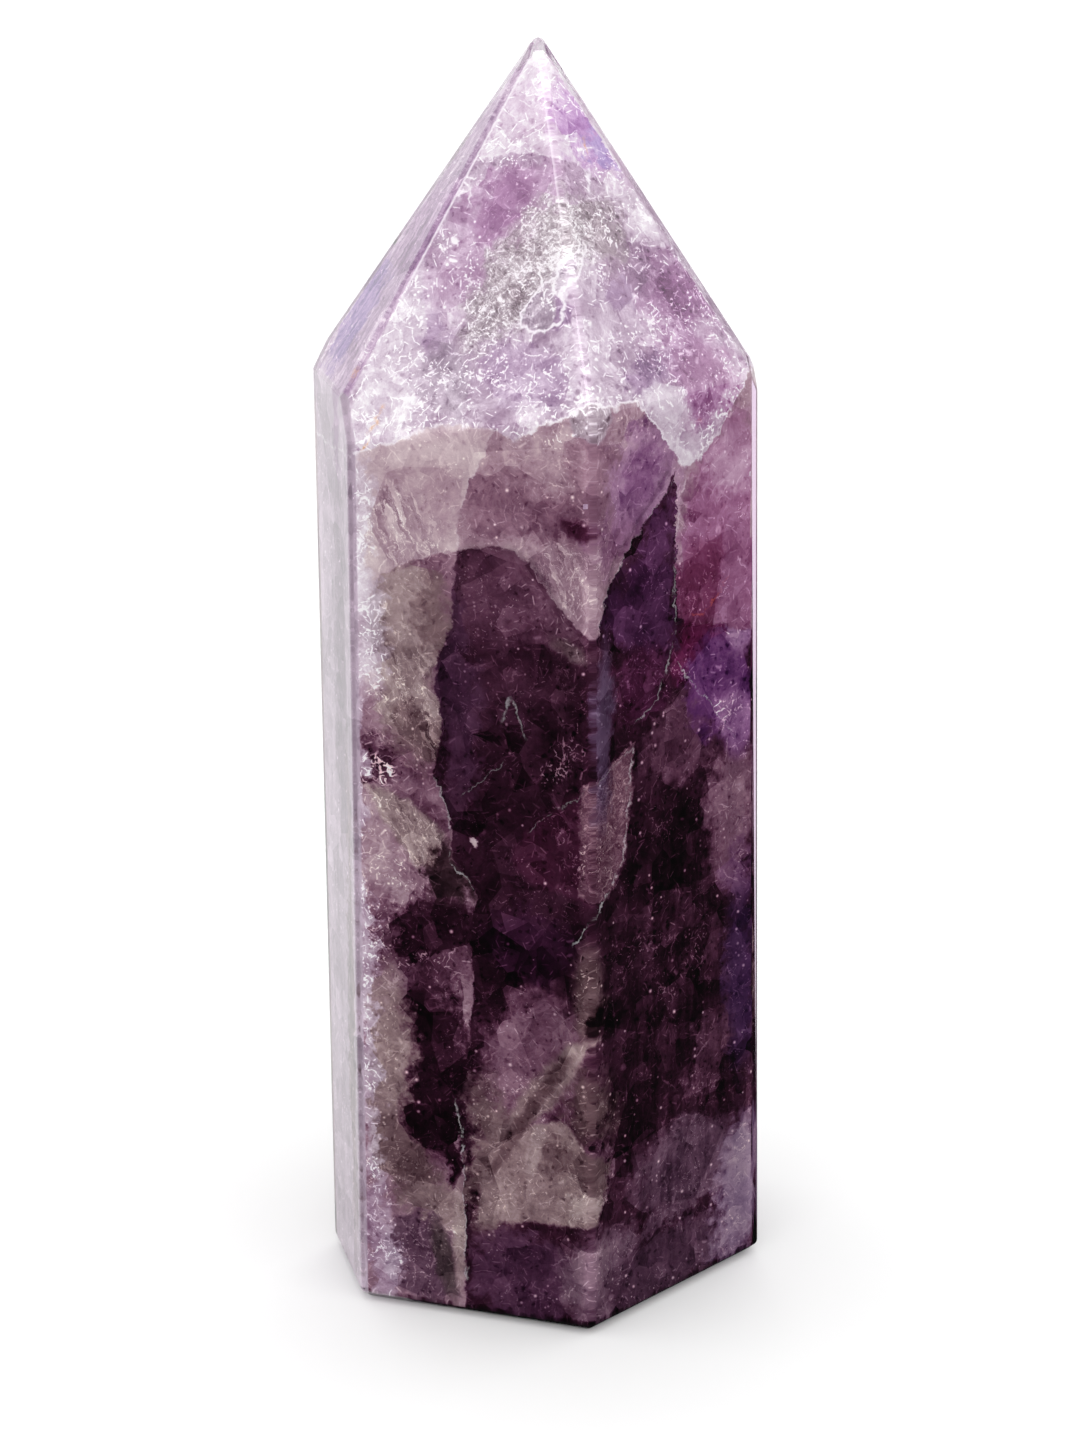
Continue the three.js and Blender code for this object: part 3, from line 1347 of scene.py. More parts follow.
TIP_CLOUDS = Region(
    Paint(Look(0.79, 0.12, 0.6).channels(), TIP_MILK, TIP_HAZE),
    (
        Zone("pink plum lower left", Egg(-6.2, 101.4, 2.4, 5, 38), Look(0.75, 0.1, 0.4), tint=ORCHID,
             edge=1.4),
        Zone("plum under the arch", Egg(-2.7, 105.8, 2.6, 4.4, 50), Look(0.62, 0.07, 0.15), tint=ORCHID),
        Zone("darkest plum", Egg(-3.4, 105.6, 1.1, 2.4, 38), Look(0.51, 0.06, 0.1), tint=ORCHID),
        Zone("mauve under the arch", Egg(2, 107.6, 2.4, 1.5), Look(0.63, 0.1, 0.3)),
        Zone("mauve right part", Egg(12.4, 93.8, 3.2, 5.6, -30), Look(0.56, 0.11, 0.5), tint=ORCHID,
             edge=1.4),
        Zone("silver cloud up", Egg(2.2, 103.4, 2.4, 3, 20), Look(0.78, 0.13, 0.7), TIP_SILVER, GREY,
             CROSSED),
        Zone("silver cloud", Egg(-2.1, 99.7, 3, 7, 35), Look(0.79, 0.14, 0.7), TIP_SILVER, GREY, CROSSED),
        Zone("dark grey by the white vein", Egg(5, 102.6, 1.3, 2.4, -15), Look(0.6, 0.12, 0.6), TIP_SILVER,
             GREY),
        Zone("pale lilac right of the vein", Egg(7.9, 105.2, 1.4, 3.6, -35), Look(0.9, 0.08, 0.4)),
        Zone("pale fold right of the flash", Egg(3.9, 97.4, 1.7, 3), Look(0.83, 0.09, 0.5)),
        Zone("grey mauve right", Egg(7.4, 99.2, 2.8, 2.6, -30), Look(0.6, 0.12, 0.7)),
        Zone("purple right edge", Egg(12.6, 96.6, 2, 4.6, -35), Look(0.5, 0.1, 0.5), tint=ORCHID),
        Zone("grey violet pool", Egg(6, 97, 1.4, 0.9), Look(0.64, 0.07, 0.3), tint=VIOLET, edge=0.6),
        Zone("pale cloud low right", Egg(8.2, 94.4, 2.4, 1.6, 20), Look(0.77, 0.11, 0.6)),
        Zone("purple low right", Egg(12.4, 93.4, 2, 2.2, -20), Look(0.6, 0.1, 0.4), tint=ORCHID),
        Zone("violet low right", Egg(9, 91.4, 1.6, 1.5), Look(0.56, 0.12, 0.5), tint=VIOLET, edge=0.7),
        Zone("lilac at the right edge", Egg(15, 94, 0.9, 1.6, -35), Look(0.84, 0.1, 0.5)),
        Zone("pink plum at the shoulder", Egg(14.2, 89.6, 2.6, 3.6, 10), Look(0.6, 0.09, 0.3),
             tint=SHOULDER_PINK, edge=1.2),
        Zone("pink corner of the shoulder", Egg(17.2, 87.4, 1.4, 2.6), Look(0.94, 0.08, 0.3),
             tint=CORNER_PINK),
        Zone("pale veil left", Egg(-13.4, 91.5, 2.8, 6.6, 14), Look(0.93, 0.09, 0.6)),
        Zone("violet left", Egg(-10, 94.4, 1.2, 2.2, -10), Look(0.68, 0.1, 0.4), tint=VIOLET, edge=0.8),
        Zone("grey violet left", Egg(-8.8, 91, 1.7, 2.6, -12), Look(0.7, 0.12, 0.5), tint=HAZE),
        Zone("grey violet middle", Egg(-1.8, 91.6, 3.6, 2.3, 10), Look(0.65, 0.12, 0.4), tint=VIOLET),
        Zone("mauve over the shoulder", Egg(-1.6, 91.4, 1.8, 1.8), Look(0.68, 0.11, 0.6)),
        Zone("mauve left of the silver cloud", Egg(-1.6, 103.4, 1.5, 1.6), Look(0.68, 0.1, 0.5)),
        Zone("pale haze over the shoulder", Egg(-3.2, 88.6, 3.2, 0.9), Look(0.78, 0.1, 0.5)),
        Zone("lilac wedge",
             Panel(((7.8, 89.4), (10.4, 84.6), (12.2, 82.4), (13.6, 83.6), (12.4, 88), (9.6, 91))),
             Look(0.93, 0.06, 0.3), edge=0.5, crisp=True),
        # The flash is a painted highlight, where a fracture in the tip catches the light.
        Zone("flash, upper part", Panel(((2.8, 102.2), (1.2, 100.6), (0.7, 98.8), (1.8, 98.6))),
             Look(0.74, 0.14, 0.8), milk=FLASH_HIGHLIGHT, tint=HAZE, edge=0.12, crisp=True),
        Zone("flash, lower part", Panel(((0.7, 98.8), (-1.2, 97.5), (-2, 95.7), (0.4, 95), (1.2, 96.4))),
             Look(0.76, 0.16, 0.8), milk=FLASH_HIGHLIGHT, tint=HAZE, edge=0.12, crisp=True),
        Zone("grey pool beside the flash", Panel(((1.2, 98.2), (0.7, 95.2), (2.3, 95.8), (2.5, 97.4))),
             Look(0.6, 0.12, 0.5), tint=VIOLET, edge=0.15, crisp=True),
        Zone("shadow left of the flash", Panel(((0.6, 100.8), (-1.4, 98.2), (-2.6, 95.8), (-3.2, 98.4))),
             Look(0.66, 0.12, 0.5), TIP_SILVER, GREY, edge=0.4, crisp=True),
        Zone("chipped band at the shoulder", Egg(15.4, 86.6, 0.7, 3.4, 35), Look(0.86, 0.16, 0.9), edge=0.4,
             crisp=True),
    ),
    hidden=(
        Zone("silver cloud at the back", Egg(1, 100.5, 3.4, 5.4, 25, seen_from=180), Look(0.8, 0.14, 0.8),
             TIP_SILVER, GREY, CROSSED),
        Zone("plum at the back", Egg(-5.4, 96.4, 3, 4.6, -30, seen_from=180), Look(0.62, 0.09, 0.2),
             tint=ORCHID),
        Zone("violet low at the back", Egg(6.6, 92, 3, 2.4, seen_from=180), Look(0.6, 0.1, 0.4),
             tint=VIOLET),
        Zone("pale veil at the right", Egg(6, 95, 3, 6, 10, seen_from=80), Look(0.9, 0.1, 0.6)),
    ),
)

WARM_VEIL = Region(
    Paint(Look(0.95, 0.06, 0.12).channels(), ROSE_MILK, DUSK),
    (
        Zone("mauve shadow", Egg(-9, 80.4, 1.4, 3.4, 10), Look(0.84, 0.07, 0.1)),
        Zone("mauve blotch", Egg(-12.4, 82.4, 1.6, 1.2), Look(0.88, 0.06, 0.1)),
        Zone("warm streaks", Egg(-12.6, 78, 3, 4, -20), Look(0.95, 0.06, 0.2), grain=SLANTED),
        Zone("lilac border", Egg(-17.3, 76, 1.5, 10), Look(1.03, 0.1, 0.6), milk=LILAC_MILK, edge=0.7),
    ),
)

LEFT_LAYERS = Region(
    Paint(Look(0.64, 0.1, 0.3).channels(), ROSE_MILK, DUSK),
    (
        Zone("grey beige layer", Egg(-12.6, 69.6, 4.2, 5.4), Look(0.8, 0.08, 0.2), GREY_MILK, GREY),
        Zone("mauve by the edge of the heart", Egg(-9.2, 69.5, 1.7, 6.4), Look(0.52, 0.07, 0.15)),
        Zone("mauve by the border", Egg(-14.8, 62.4, 1.3, 3.4), Look(0.62, 0.1, 0.4)),
        Zone("feather", Egg(-11.9, 61.6, 3.4, 5.6, -18), Look(0.76, 0.09, 0.4), GREY_MILK, GREY, SLANTED),
        Zone("dark fold below the feather", Egg(-11, 57.2, 2.6, 3.4, -20), Look(0.46, 0.09, 0.3)),
        Zone("sparkling hollow", Egg(-14.9, 55.2, 1.6, 2.1), Look(0.36, 0.18, 1), grain=NO_GRAIN),
        Zone("dusk below the feather", Egg(-11, 50.6, 2, 2.6, -30), Look(0.46, 0.1, 0.4), grain=NO_GRAIN),
        Zone("plume",
             Panel(((-16.6, 53.6), (-14.6, 49.6), (-11.6, 45.8), (-9.8, 46), (-9.2, 49.4), (-12, 52))),
             Look(0.74, 0.1, 0.5), GREY_MILK, GREY, SLANTED, edge=0.4, crisp=True),
        Zone("mauve below the plume", Egg(-15, 46.6, 1.8, 5, -8), Look(0.79, 0.09, 0.4)),
        Zone("smoky corner", Egg(-8.6, 45.4, 2.1, 3), Look(0.2, 0.08, 0.2), tint=GREY, edge=0.7),
        Zone("dark band", Egg(-10.8, 39.6, 5, 3.2), Look(0.17, 0.08, 0.15), edge=0.8),
        Zone("mauve notch", Egg(-15.6, 38.6, 1.3, 3.4), Look(0.44, 0.1, 0.4)),
        Zone("pale row", Egg(-9.6, 36, 3.2, 0.9), Look(0.42, 0.11, 0.6), edge=0.6),
        Zone("dark shaft", Egg(-10.8, 26, 4, 9.6), Look(0.15, 0.07, 0.15), edge=0.8),
        Zone("brown column", Egg(-14.6, 26.6, 1.9, 8), Look(0.59, 0.11, 0.3), GREY_MILK, GREY),
        Zone("black by the edge of the heart", Egg(-8.6, 17.6, 1, 4), Look(0.1, 0.05, 0.1), edge=0.5),
        Zone("brown slope", Egg(-13.6, 15.6, 2.4, 4.6, -30), Look(0.45, 0.1, 0.3), GREY_MILK, GREY),
        Zone("foot left", Egg(-11.6, 5.4, 4, 4.4), Look(0.38, 0.1, 0.3), tint=HAZE, edge=0.8),
        Zone("beige cloud", Egg(-10.4, 11.6, 3.2, 2, 10), Look(0.6, 0.12, 0.3), GREY_MILK, GREY, edge=0.7),
        Zone("blue grey hollow", Egg(-9.6, 5.6, 0.9, 3.8, -10), Look(0.28, 0.08, 0.1), GREY_MILK, SMOKE,
             edge=0.4, crisp=True),
        Zone("beige tongue", Egg(-8, 8.4, 0.6, 4.6), Look(0.72, 0.12, 0.3), GREY_MILK, GREY, edge=0.4,
             crisp=True),
        Zone("brown notch over the foot", Egg(-15.2, 17.2, 1.5, 2.8), Look(0.46, 0.1, 0.3), GREY_MILK, GREY,
             edge=0.6, crisp=True),
        # Painted contact shade at the foot.
        Zone("painted shade at the foot", FOOT_SHADE, Look(0.2, 0.05, 0.1), edge=0.25, crisp=True),
        Zone("lilac border", Egg(-17.4, 40, 0.75, 36, -1.5), Look(0.84, 0.11, 0.6), milk=LILAC_MILK,
             edge=0.6),
        Zone("pale lilac corner", Egg(-16.4, 69.4, 1.6, 5.6), Look(0.93, 0.1, 0.6), milk=LILAC_MILK,
             edge=0.8),
        Zone("pink lilac foot", Egg(-15.8, 5.6, 1.6, 6, -6), Look(0.7, 0.12, 0.5), milk=LILAC_MILK,
             edge=0.7),
    ),
    hidden=(
        Zone("feather at the back", Egg(10.6, 59, 2.8, 7.4, 16, seen_from=180), Look(0.76, 0.09, 0.4),
             GREY_MILK, GREY, SLANTED),
        Zone("dark shaft at the back", Egg(12.4, 38, 1.7, 11, 8, seen_from=180), Look(0.2, 0.07, 0.15)),
        Zone("dark branch at the back", Egg(10.4, 31.6, 1.2, 5.4, -38, seen_from=180), Look(0.26, 0.08, 0.2)),
        Zone("beige cloud at the back", Egg(12, 18, 3.4, 5.6, -15, seen_from=180), Look(0.7, 0.12, 0.4),
             GREY_MILK, GREY),
    ),
)

MAUVE_VEIL = Region(
    Paint(Look(0.72, 0.08, 0.2).channels(), ROSE_MILK, DUSK),
    (
        Zone("beige under the shoulder", Egg(0.4, 86.4, 5, 1.7), Look(0.82, 0.09, 0.3)),
        Zone("chips under the shoulder",
             Panel(((2.2, 89.4), (2.6, 87.2), (4.4, 86.4), (5.4, 88.9), (3.8, 90.4))),
             Look(0.66, 0.14, 0.8), milk=TIP_MILK, tint=GREY, edge=0.2, crisp=True),
        Zone("shadow left", Egg(-4.2, 80.2, 2.4, 3.2, 15), Look(0.56, 0.1, 0.2)),
        Zone("shadow middle", Egg(0.6, 79.8, 2.4, 1.7), Look(0.48, 0.1, 0.2)),
        Zone("dark blotch", Egg(3, 78.8, 1.2, 0.7, 30), Look(0.3, 0.08, 0.1), tint=PLUM, edge=0.4,
             crisp=True),
        Zone("shadow by the front edge", Egg(4.2, 83.4, 2.2, 3.4), Look(0.57, 0.08, 0.15)),
        Zone("purple right", Egg(8.2, 82.4, 2.8, 4.8, 10), Look(0.72, 0.08, 0.15), milk=PINK_MILK,
             tint=VEIL_LILAC, edge=1.2),
        Zone("violet blotch", Egg(8.1, 83.2, 1, 2, 15), Look(0.56, 0.08, 0.1), tint=VIOLET, edge=0.6),
        Zone("small violet blotch", Egg(7.2, 86.9, 0.9, 0.6), Look(0.58, 0.08, 0.1), tint=VIOLET, edge=0.4),
        Zone("mauve low right", Egg(6.2, 78, 2.2, 3, 20), Look(0.61, 0.08, 0.2), milk=PINK_MILK),
        Zone("beige wedge", Panel(((-1.6, 77.4), (3.6, 76.4), (4.6, 72), (4.1, 69), (-0.2, 73.8))),
             Look(0.76, 0.08, 0.3), edge=0.7, grain=SLANTED),
        Zone("magenta right", Egg(15.6, 76.5, 4.4, 9.4, 8), Look(0.57, 0.07, 0.2), PINK_MILK, MAGENTA,
             grain=NO_GRAIN, edge=1.2),
        Zone("pink at the top right", Egg(16.8, 83.4, 2.4, 4), Look(0.86, 0.06, 0.2), PINK_MILK, MAGENTA),
        Zone("wine red", Egg(13.6, 71, 2.2, 3.6, 20), Look(0.44, 0.08, 0.3), WINE_MILK, MAGENTA, edge=1.8),
        Zone("lilac panel at the right edge",
             Panel(((16.2, 79), (19, 79), (19, 66), (14.8, 66), (15.6, 73))), Look(0.62, 0.07, 0.3),
             PINK_MILK, MAGENTA, edge=0.3, crisp=True),
    ),
    hidden=(
        Zone("shadow at the back", Egg(2, 80.6, 4.4, 2.6, seen_from=180), Look(0.5, 0.09, 0.2)),
        Zone("pink at the back", Egg(-8.6, 80, 4, 4.6, seen_from=180), Look(0.8, 0.08, 0.2), PINK_MILK),
        Zone("wine in the veil at the right", Egg(9, 69.6, 9, 5.6, 8, seen_from=80), Look(0.5, 0.09, 0.3),
             PINK_MILK, MAGENTA, edge=2),
    ),
)

HEART = Region(
    Paint(Look(0.16, 0.07, 0.15).channels(), ROSE_MILK, DUSK),
    (
        Zone("thin brown haze", Egg(-3.4, 66.6, 5.4, 7), Look(0.25, 0.07, 0.2), edge=2.4),
        Zone("brown haze at the top", Egg(-2.2, 73.2, 5.8, 4), Look(0.4, 0.08, 0.2), edge=1.8),
        Zone("purple by the edge", Egg(-7.8, 62.6, 1.7, 9.6), Look(0.3, 0.06, 0.15), tint=HEART_EDGE_TINT),
        Zone("pale tuft", Egg(0.2, 70.6, 2.6, 1, 35), Look(0.46, 0.12, 0.6)),
        Zone("beige tuft", Egg(2.2, 67.8, 1.4, 0.6, 35), Look(0.46, 0.12, 0.6), tint=GREY, edge=0.4,
             crisp=True),
        Zone("dark triangle", Panel(((4.3, 69.6), (10.9, 82), (11.1, 69), (9.2, 64))),
             Look(0.32, 0.07, 0.2), PINK_MILK, VEIL_LILAC),
        Zone("dark fold", Egg(6.6, 72.6, 1, 2.6, 25), Look(0.22, 0.06, 0.1), edge=0.6),
        Zone("plum below the triangle", Egg(7.6, 63.4, 2.4, 3.4), Look(0.31, 0.08, 0.2), PINK_MILK, PLUM),
        Zone("wine below the red crack", Egg(14.2, 65.8, 3.6, 4), Look(0.42, 0.09, 0.4), WINE_MILK, WINE),
        Zone("violet beside the crack", Egg(16, 61, 3.4, 5.6, -20), Look(0.46, 0.11, 0.5), PINK_MILK,
             EDGE_VIOLET),
        Zone("violet at the right edge", Egg(17.8, 66.8, 1.5, 2.6), Look(0.74, 0.11, 0.8), PINK_MILK,
             EDGE_VIOLET, edge=0.6, crisp=True),
        Zone("bright violet point", Panel(((18.9, 61), (18.9, 55.2), (16.6, 55), (14.4, 59.6), (16.4, 60))),
             Look(0.62, 0.13, 0.8), PINK_MILK, EDGE_VIOLET, edge=0.3, crisp=True),
        Zone("plum shelf", Egg(12, 57.2, 3.4, 4.4), Look(0.39, 0.08, 0.2)),
        Zone("mauve cloud", Egg(17.2, 48, 2.6, 5.4), Look(0.54, 0.1, 0.3), tint=DUSK, edge=1.4),
        Zone("mauve over the cloud", Egg(17.6, 57, 1.6, 3), Look(0.64, 0.11, 0.5), PINK_MILK, EDGE_VIOLET,
             edge=0.8, crisp=True),
        Zone("violet below the cloud", Egg(18.2, 42.4, 1.6, 2.8), Look(0.42, 0.09, 0.3), tint=VIOLET),
        Zone("upright wisps", Egg(12.6, 24, 6.4, 22), grain=WISPY, edge=2),
        Zone("black shaft", Egg(8.6, 44, 3, 10), Look(0.17, 0.08, 0.3), edge=1.4),
        Zone("grey wisps", Egg(11.2, 36.6, 3.2, 5.2), Look(0.19, 0.1, 0.4), edge=1.4),
        Zone("indigo right edge", Egg(18.6, 30.6, 1.8, 8.6), Look(0.26, 0.06, 0.2), tint=INDIGO),
        Zone("mauve wisp", Egg(15.1, 24, 1.2, 3.6, 8), Look(0.36, 0.1, 0.3)),
        Zone("violet middle", Egg(-1.8, 39, 4.4, 3.4), Look(0.15, 0.06, 0.2), tint=TIP_HAZE),
        Zone("mauve cloud low", Egg(-0.8, 28.2, 4.2, 6.6, 10), Look(0.55, 0.1, 0.3), tint=DUSK, edge=1.4),
        Zone("grey right of the streak", Egg(4, 23.2, 1.7, 3.2), Look(0.37, 0.09, 0.3), GREY_MILK, GREY),
        Zone("mauve left of the patch", Egg(-5.2, 16.8, 2, 8), Look(0.53, 0.1, 0.3), GREY_MILK, GREY,
             edge=0.8),
        Zone("beige stem", Egg(3.9, 35, 1.1, 4.4), Look(0.4, 0.12, 0.4), GREY_MILK, GREY, edge=0.5,
             crisp=True),
        Zone("black notch", Egg(5.2, 31.8, 1.2, 1.9), Look(0.07, 0.06, 0.2), edge=0.3, crisp=True),
        Zone("dark below the shaft", Egg(8.8, 21, 3.6, 3.4), Look(0.15, 0.07, 0.2)),
        Zone("dark right of the patch", Egg(7.6, 14.6, 2.4, 2.8), Look(0.16, 0.07, 0.2), edge=0.8),
        Zone("plum foot", Egg(-2, 4.6, 5.4, 5), Look(0.32, 0.08, 0.2), tint=HEART_EDGE_TINT, edge=0.8),
        Zone("lilac haze at the foot", Egg(5, 5.4, 2.8, 4.8), Look(0.5, 0.09, 0.25), tint=HAZE, edge=1.2),
        Zone("grey lilac at the right", Egg(13.4, 12.8, 5.2, 4.4), Look(0.4, 0.09, 0.25), tint=HAZE,
             edge=1.6),
        Zone("violet foot right", Egg(12.6, 3.4, 7, 3.4), Look(0.28, 0.08, 0.25), tint=HAZE, edge=1.2),
        Zone("mauve band at the foot", Egg(13, 8.6, 5, 0.6, -14), Look(0.4, 0.07, 0.2), tint=HAZE,
             edge=0.5),
        Zone("lilac corner of the foot", Egg(19.2, 8.2, 2.7, 7.2), Look(0.68, 0.08, 0.25), tint=FOOT_VIOLET,
             edge=1.2),
        Zone("beige streak", Panel(((4.6, 30.6), (2.4, 30), (-4.8, 19), (-3.6, 17.6), (1, 23))),
             Look(0.6, 0.11, 0.3), GREY_MILK, GREY, edge=0.4, crisp=True),
        Zone("beige patch",
             Panel(((-6.4, 9.8), (4.8, 11.2), (5.6, 17), (2, 21.8), (-2.6, 20), (-5.8, 15.6))),
             Look(0.6, 0.12, 0.25), GREY_MILK, GREY, edge=0.25, crisp=True),
        Zone("grey middle of the patch", Egg(1.6, 17.4, 1.5, 1.9), Look(0.46, 0.1, 0.2), edge=0.4),
        Zone("grey right part of the patch", Egg(4.6, 17, 1.3, 2.6), Look(0.48, 0.1, 0.2), edge=0.5),
        Zone("pale corner of the patch", Egg(3.3, 12.9, 1.5, 1.4), Look(0.76, 0.1, 0.3), edge=0.4),
        Zone("brown band",
             Panel(((2.8, 28.6), (1.7, 28), (-3.4, 19.6), (-5.4, 15.4), (-4.6, 15), (-1.6, 19.8))),
             Look(0.38, 0.08, 0.2), GREY_MILK, GREY, edge=0.3, crisp=True),
        Zone("bright ridge in the patch", Egg(-0.6, 18.6, 0.6, 3, 12), Look(0.76, 0.1, 0.3), edge=0.3,
             crisp=True),
        Zone("flecks left of the front edge", Egg(2, 57.6, 1.6, 3.2, 30), Look(0.22, 0.12, 0.6)),
        Zone("angular chip", Egg(-6.3, 48.7, 0.4, 0.2, 30), Look(0.9, 0.05, 0.1), edge=0.1, crisp=True),
        Zone("flake, left part",
             Panel(((4, 55.4), (1.2, 53.2), (-1.8, 50), (-3, 47.4), (-1.2, 45.2), (4, 44))),
             Look(0.26, 0.06, 0.25), tint=PLUM, edge=0.4, crisp=True),
        Zone("flake, right part",
             Panel(((3.2, 55), (7.4, 58.2), (7, 53), (6.3, 47), (5.2, 44), (3.2, 44.4))),
             Look(0.43, 0.08, 0.35), GREY_MILK, DUSK, HALF_CROSSED, edge=0.12, crisp=True),
        # Painted contact shade at the foot.
        Zone("painted shade at the foot", FOOT_SHADE, Look(0.1, 0.04, 0.1), edge=0.25, crisp=True),
        # Painted reflection by the front edge.
        Zone("blue reflection by the front edge", Egg(4.7, 60.2, 0.5, 7), Look(0.37, 0.04, 0.1), BLUE_REFLECTION,
             HAZE, edge=0.3, crisp=True),
    ),
    hidden=(
        Zone("grey wisp at the back", Egg(-3.6, 39.6, 1.1, 6.6, 32, seen_from=180), Look(0.5, 0.12, 0.4),
             GREY_MILK, GREY, edge=0.5),
        Zone("brown haze at the back", Egg(-3.6, 68, 8, 6.6, 10, seen_from=180), Look(0.42, 0.09, 0.3),
             edge=2.4),
        Zone("veil at the back", Egg(3.4, 52, 3.6, 9, 25, seen_from=180), Look(0.56, 0.1, 0.3), GREY_MILK,
             GREY, SLANTED, edge=0.6),
        Zone("mauve cloud at the back", Egg(-8, 46, 5, 8, -15, seen_from=180), Look(0.5, 0.1, 0.3),
             edge=1.6),
        Zone("violet at the back", Egg(1, 32, 6, 5, seen_from=180), Look(0.28, 0.07, 0.2), tint=VIOLET,
             edge=1.6),
        Zone("beige plume at the back", Egg(-8.6, 26.6, 2.4, 8.4, -25, seen_from=180),
             Look(0.62, 0.12, 0.4), GREY_MILK, GREY, edge=0.6),
        Zone("patch at the back", Egg(3, 14.6, 4.4, 3.4, 20, seen_from=180), Look(0.58, 0.12, 0.3),
             GREY_MILK, GREY, edge=0.5),
        Zone("plum foot at the back", Egg(-2, 5, 12, 5, seen_from=180), Look(0.38, 0.09, 0.25), tint=HAZE,
             edge=1.4),
        Zone("wine at the right", Egg(9, 64.6, 9, 5.4, 8, seen_from=80), Look(0.46, 0.09, 0.3), PINK_MILK,
             MAGENTA, edge=2),
        Zone("mauve veil at the right", Egg(11.6, 44, 3.6, 10, 12, seen_from=80), Look(0.58, 0.1, 0.35),
             edge=1.4),
        Zone("violet haze at the right", Egg(4.6, 53, 3.2, 5.6, -15, seen_from=80), Look(0.42, 0.09, 0.3),
             tint=VIOLET, edge=1.4),
        Zone("beige plume at the right", Egg(12.6, 30, 2.2, 8.8, -24, seen_from=80), Look(0.6, 0.12, 0.4),
             GREY_MILK, GREY, SLANTED, edge=0.6),
        Zone("brown haze at the right", Egg(5, 29, 3.2, 7.4, 14, seen_from=80), Look(0.4, 0.1, 0.3),
             edge=1.6),
        Zone("pale seam at the right", Egg(8.6, 40.6, 6.4, 0.7, 20, seen_from=80), Look(0.56, 0.1, 0.5),
             GREY_MILK, GREY, edge=0.4),
        Zone("mauve cloud at the right", Egg(9, 18, 5, 3.4, 25, seen_from=80), Look(0.5, 0.1, 0.35),
             edge=1.2),
        Zone("lilac foot at the right", Egg(8, 8, 9, 6.4, seen_from=80), Look(0.6, 0.09, 0.3),
             tint=FOOT_VIOLET, edge=1.4),
    ),
)

LEFT_SIDE = Region(
    Paint(Look(0.8, 0.04, 0.1).channels(), FACET_MILK, SMOKE, FAINT_STREAKS),
    (
        Zone("violet stripe at the shoulder", Egg(2.6, 86.4, 1, 4, seen_from=-74), Look(0.6, 0.04, 0.1),
             tint=VIOLET),
        Zone("grey stripe in the middle", Egg(2.4, 64, 1.8, 14, seen_from=-74), Look(0.54, 0.04, 0.1),
             edge=1.4),
        Zone("dusk at the foot", Egg(4.8, 30, 1.1, 18, seen_from=-74), Look(0.58, 0.06, 0.2),
             milk=ROSE_MILK, edge=1.4),
    ),
)
LEFT_TIP = Region(
    Paint(Look(0.76, 0.07, 0.2).channels(), FACET_MILK, VIOLET, STREAKS),
    (
        Zone("grey mauve in the middle", Egg(1, 103, 4, 4.4, seen_from=-74), Look(0.62, 0.06, 0.2),
             tint=VIOLET),
        Zone("violet blue low", Egg(-3.4, 94.5, 3, 5, -20, seen_from=-74), Look(0.64, 0.06, 0.4),
             tint=TIP_VIOLET),
        Zone("pale triangle at the shoulder", Egg(-4, 88, 3.4, 2, seen_from=-74), Look(0.86, 0.05, 0.3)),
        Zone("pale near the point", Egg(0, 112, 4, 5, seen_from=-74), Look(0.84, 0.05, 0.2)),
    ),
)
CLEAR_SIDES = (
    (Side(196), LEFT_SIDE, (Part.PRISM, Part.SHOULDER)),
    (Side(199, on_tip=True), LEFT_TIP, (Part.SHOULDER, Part.TIP)),
)

CRACKS = (
    Crack("left edge of the heart", Outline.up(
        (-8.2, 22.9), (-7.6, 16.7), (-7.5, 10.6), (-7.5, 2.8),
    ), glow=0.5),
    Crack("upper left edge of the heart", Outline.up(
        (-7.7, 76.1), (-7.4, 79.7), (-5.5, 84.7), (-4.4, 87.5),
    ), glow=0.3),
    Crack("crack beside the heart", Outline.up(
        (-10.1, 55), (-8.8, 51.6), (-8.6, 46.7), (-6.1, 43.7),
    ), glow=0.4),
    Crack("right crack", Outline.up(
        (12.3, 82.5), (11.3, 79.9), (11.1, 75.2), (11, 68.5), (10.5, 65), (9.4, 61.8), (7.2, 59.6),
    ), glow=0.35),
    Crack("edge of the veil", Outline.up(
        (11.7, 83), (9.5, 80.3), (6.2, 75.8), (5.1, 73.3), (4.1, 69),
    ), thick=0.12, glow=0.25),
    Crack("violet crack", Outline.up((11.1, 64.8), (13.2, 61.6), (15.6, 58), (17.7, 55)), glow=0.5),
    Crack("top edge of the flake", Outline(((-1.6, 49.8), (0.6, 52.2), (3.8, 55), (7.4, 57.8))), glow=0.2),
    Crack("edge of the flake", Outline.up(
        (4.2, 42.3), (6.1, 47), (6.8, 53), (7.2, 57.8),
    ), thick=0.12, glow=0.5),
    Crack("foot of the flake", Outline.up((2.5, 39.4), (4.2, 42.3)), glow=0.45),
    Crack("left leg of the pale fork", Outline.up((-3, 63.4), (-3.3, 62), (-4, 60.2)), thick=0.22,
          glow=0.3),
    Crack("right leg of the pale fork", Outline.up((-3, 63.4), (-2.4, 61.4), (-1.5, 58.8)), thick=0.18,
          glow=0.3),
    Crack("faint line in the heart", Outline(((-7.8, 52.6), (-5.2, 55), (-3.4, 56.8))), thick=0.1, glow=0.16),
    Crack("white vein in the tip", Outline.up(
        (3.6, 108.8), (3.9, 105.9), (4.95, 104.3), (6.5, 102.7),
    ), thick=0.3, glow=0.9),
    Crack("edge of the tip arch", TIP_ARCH, thick=0.14, glow=0.6),
    Crack("wisp by the left edge", Outline.up((-6.2, 108), (-6.6, 106.4), (-6.3, 104.6)), thick=0.16,
          glow=0.8),
)
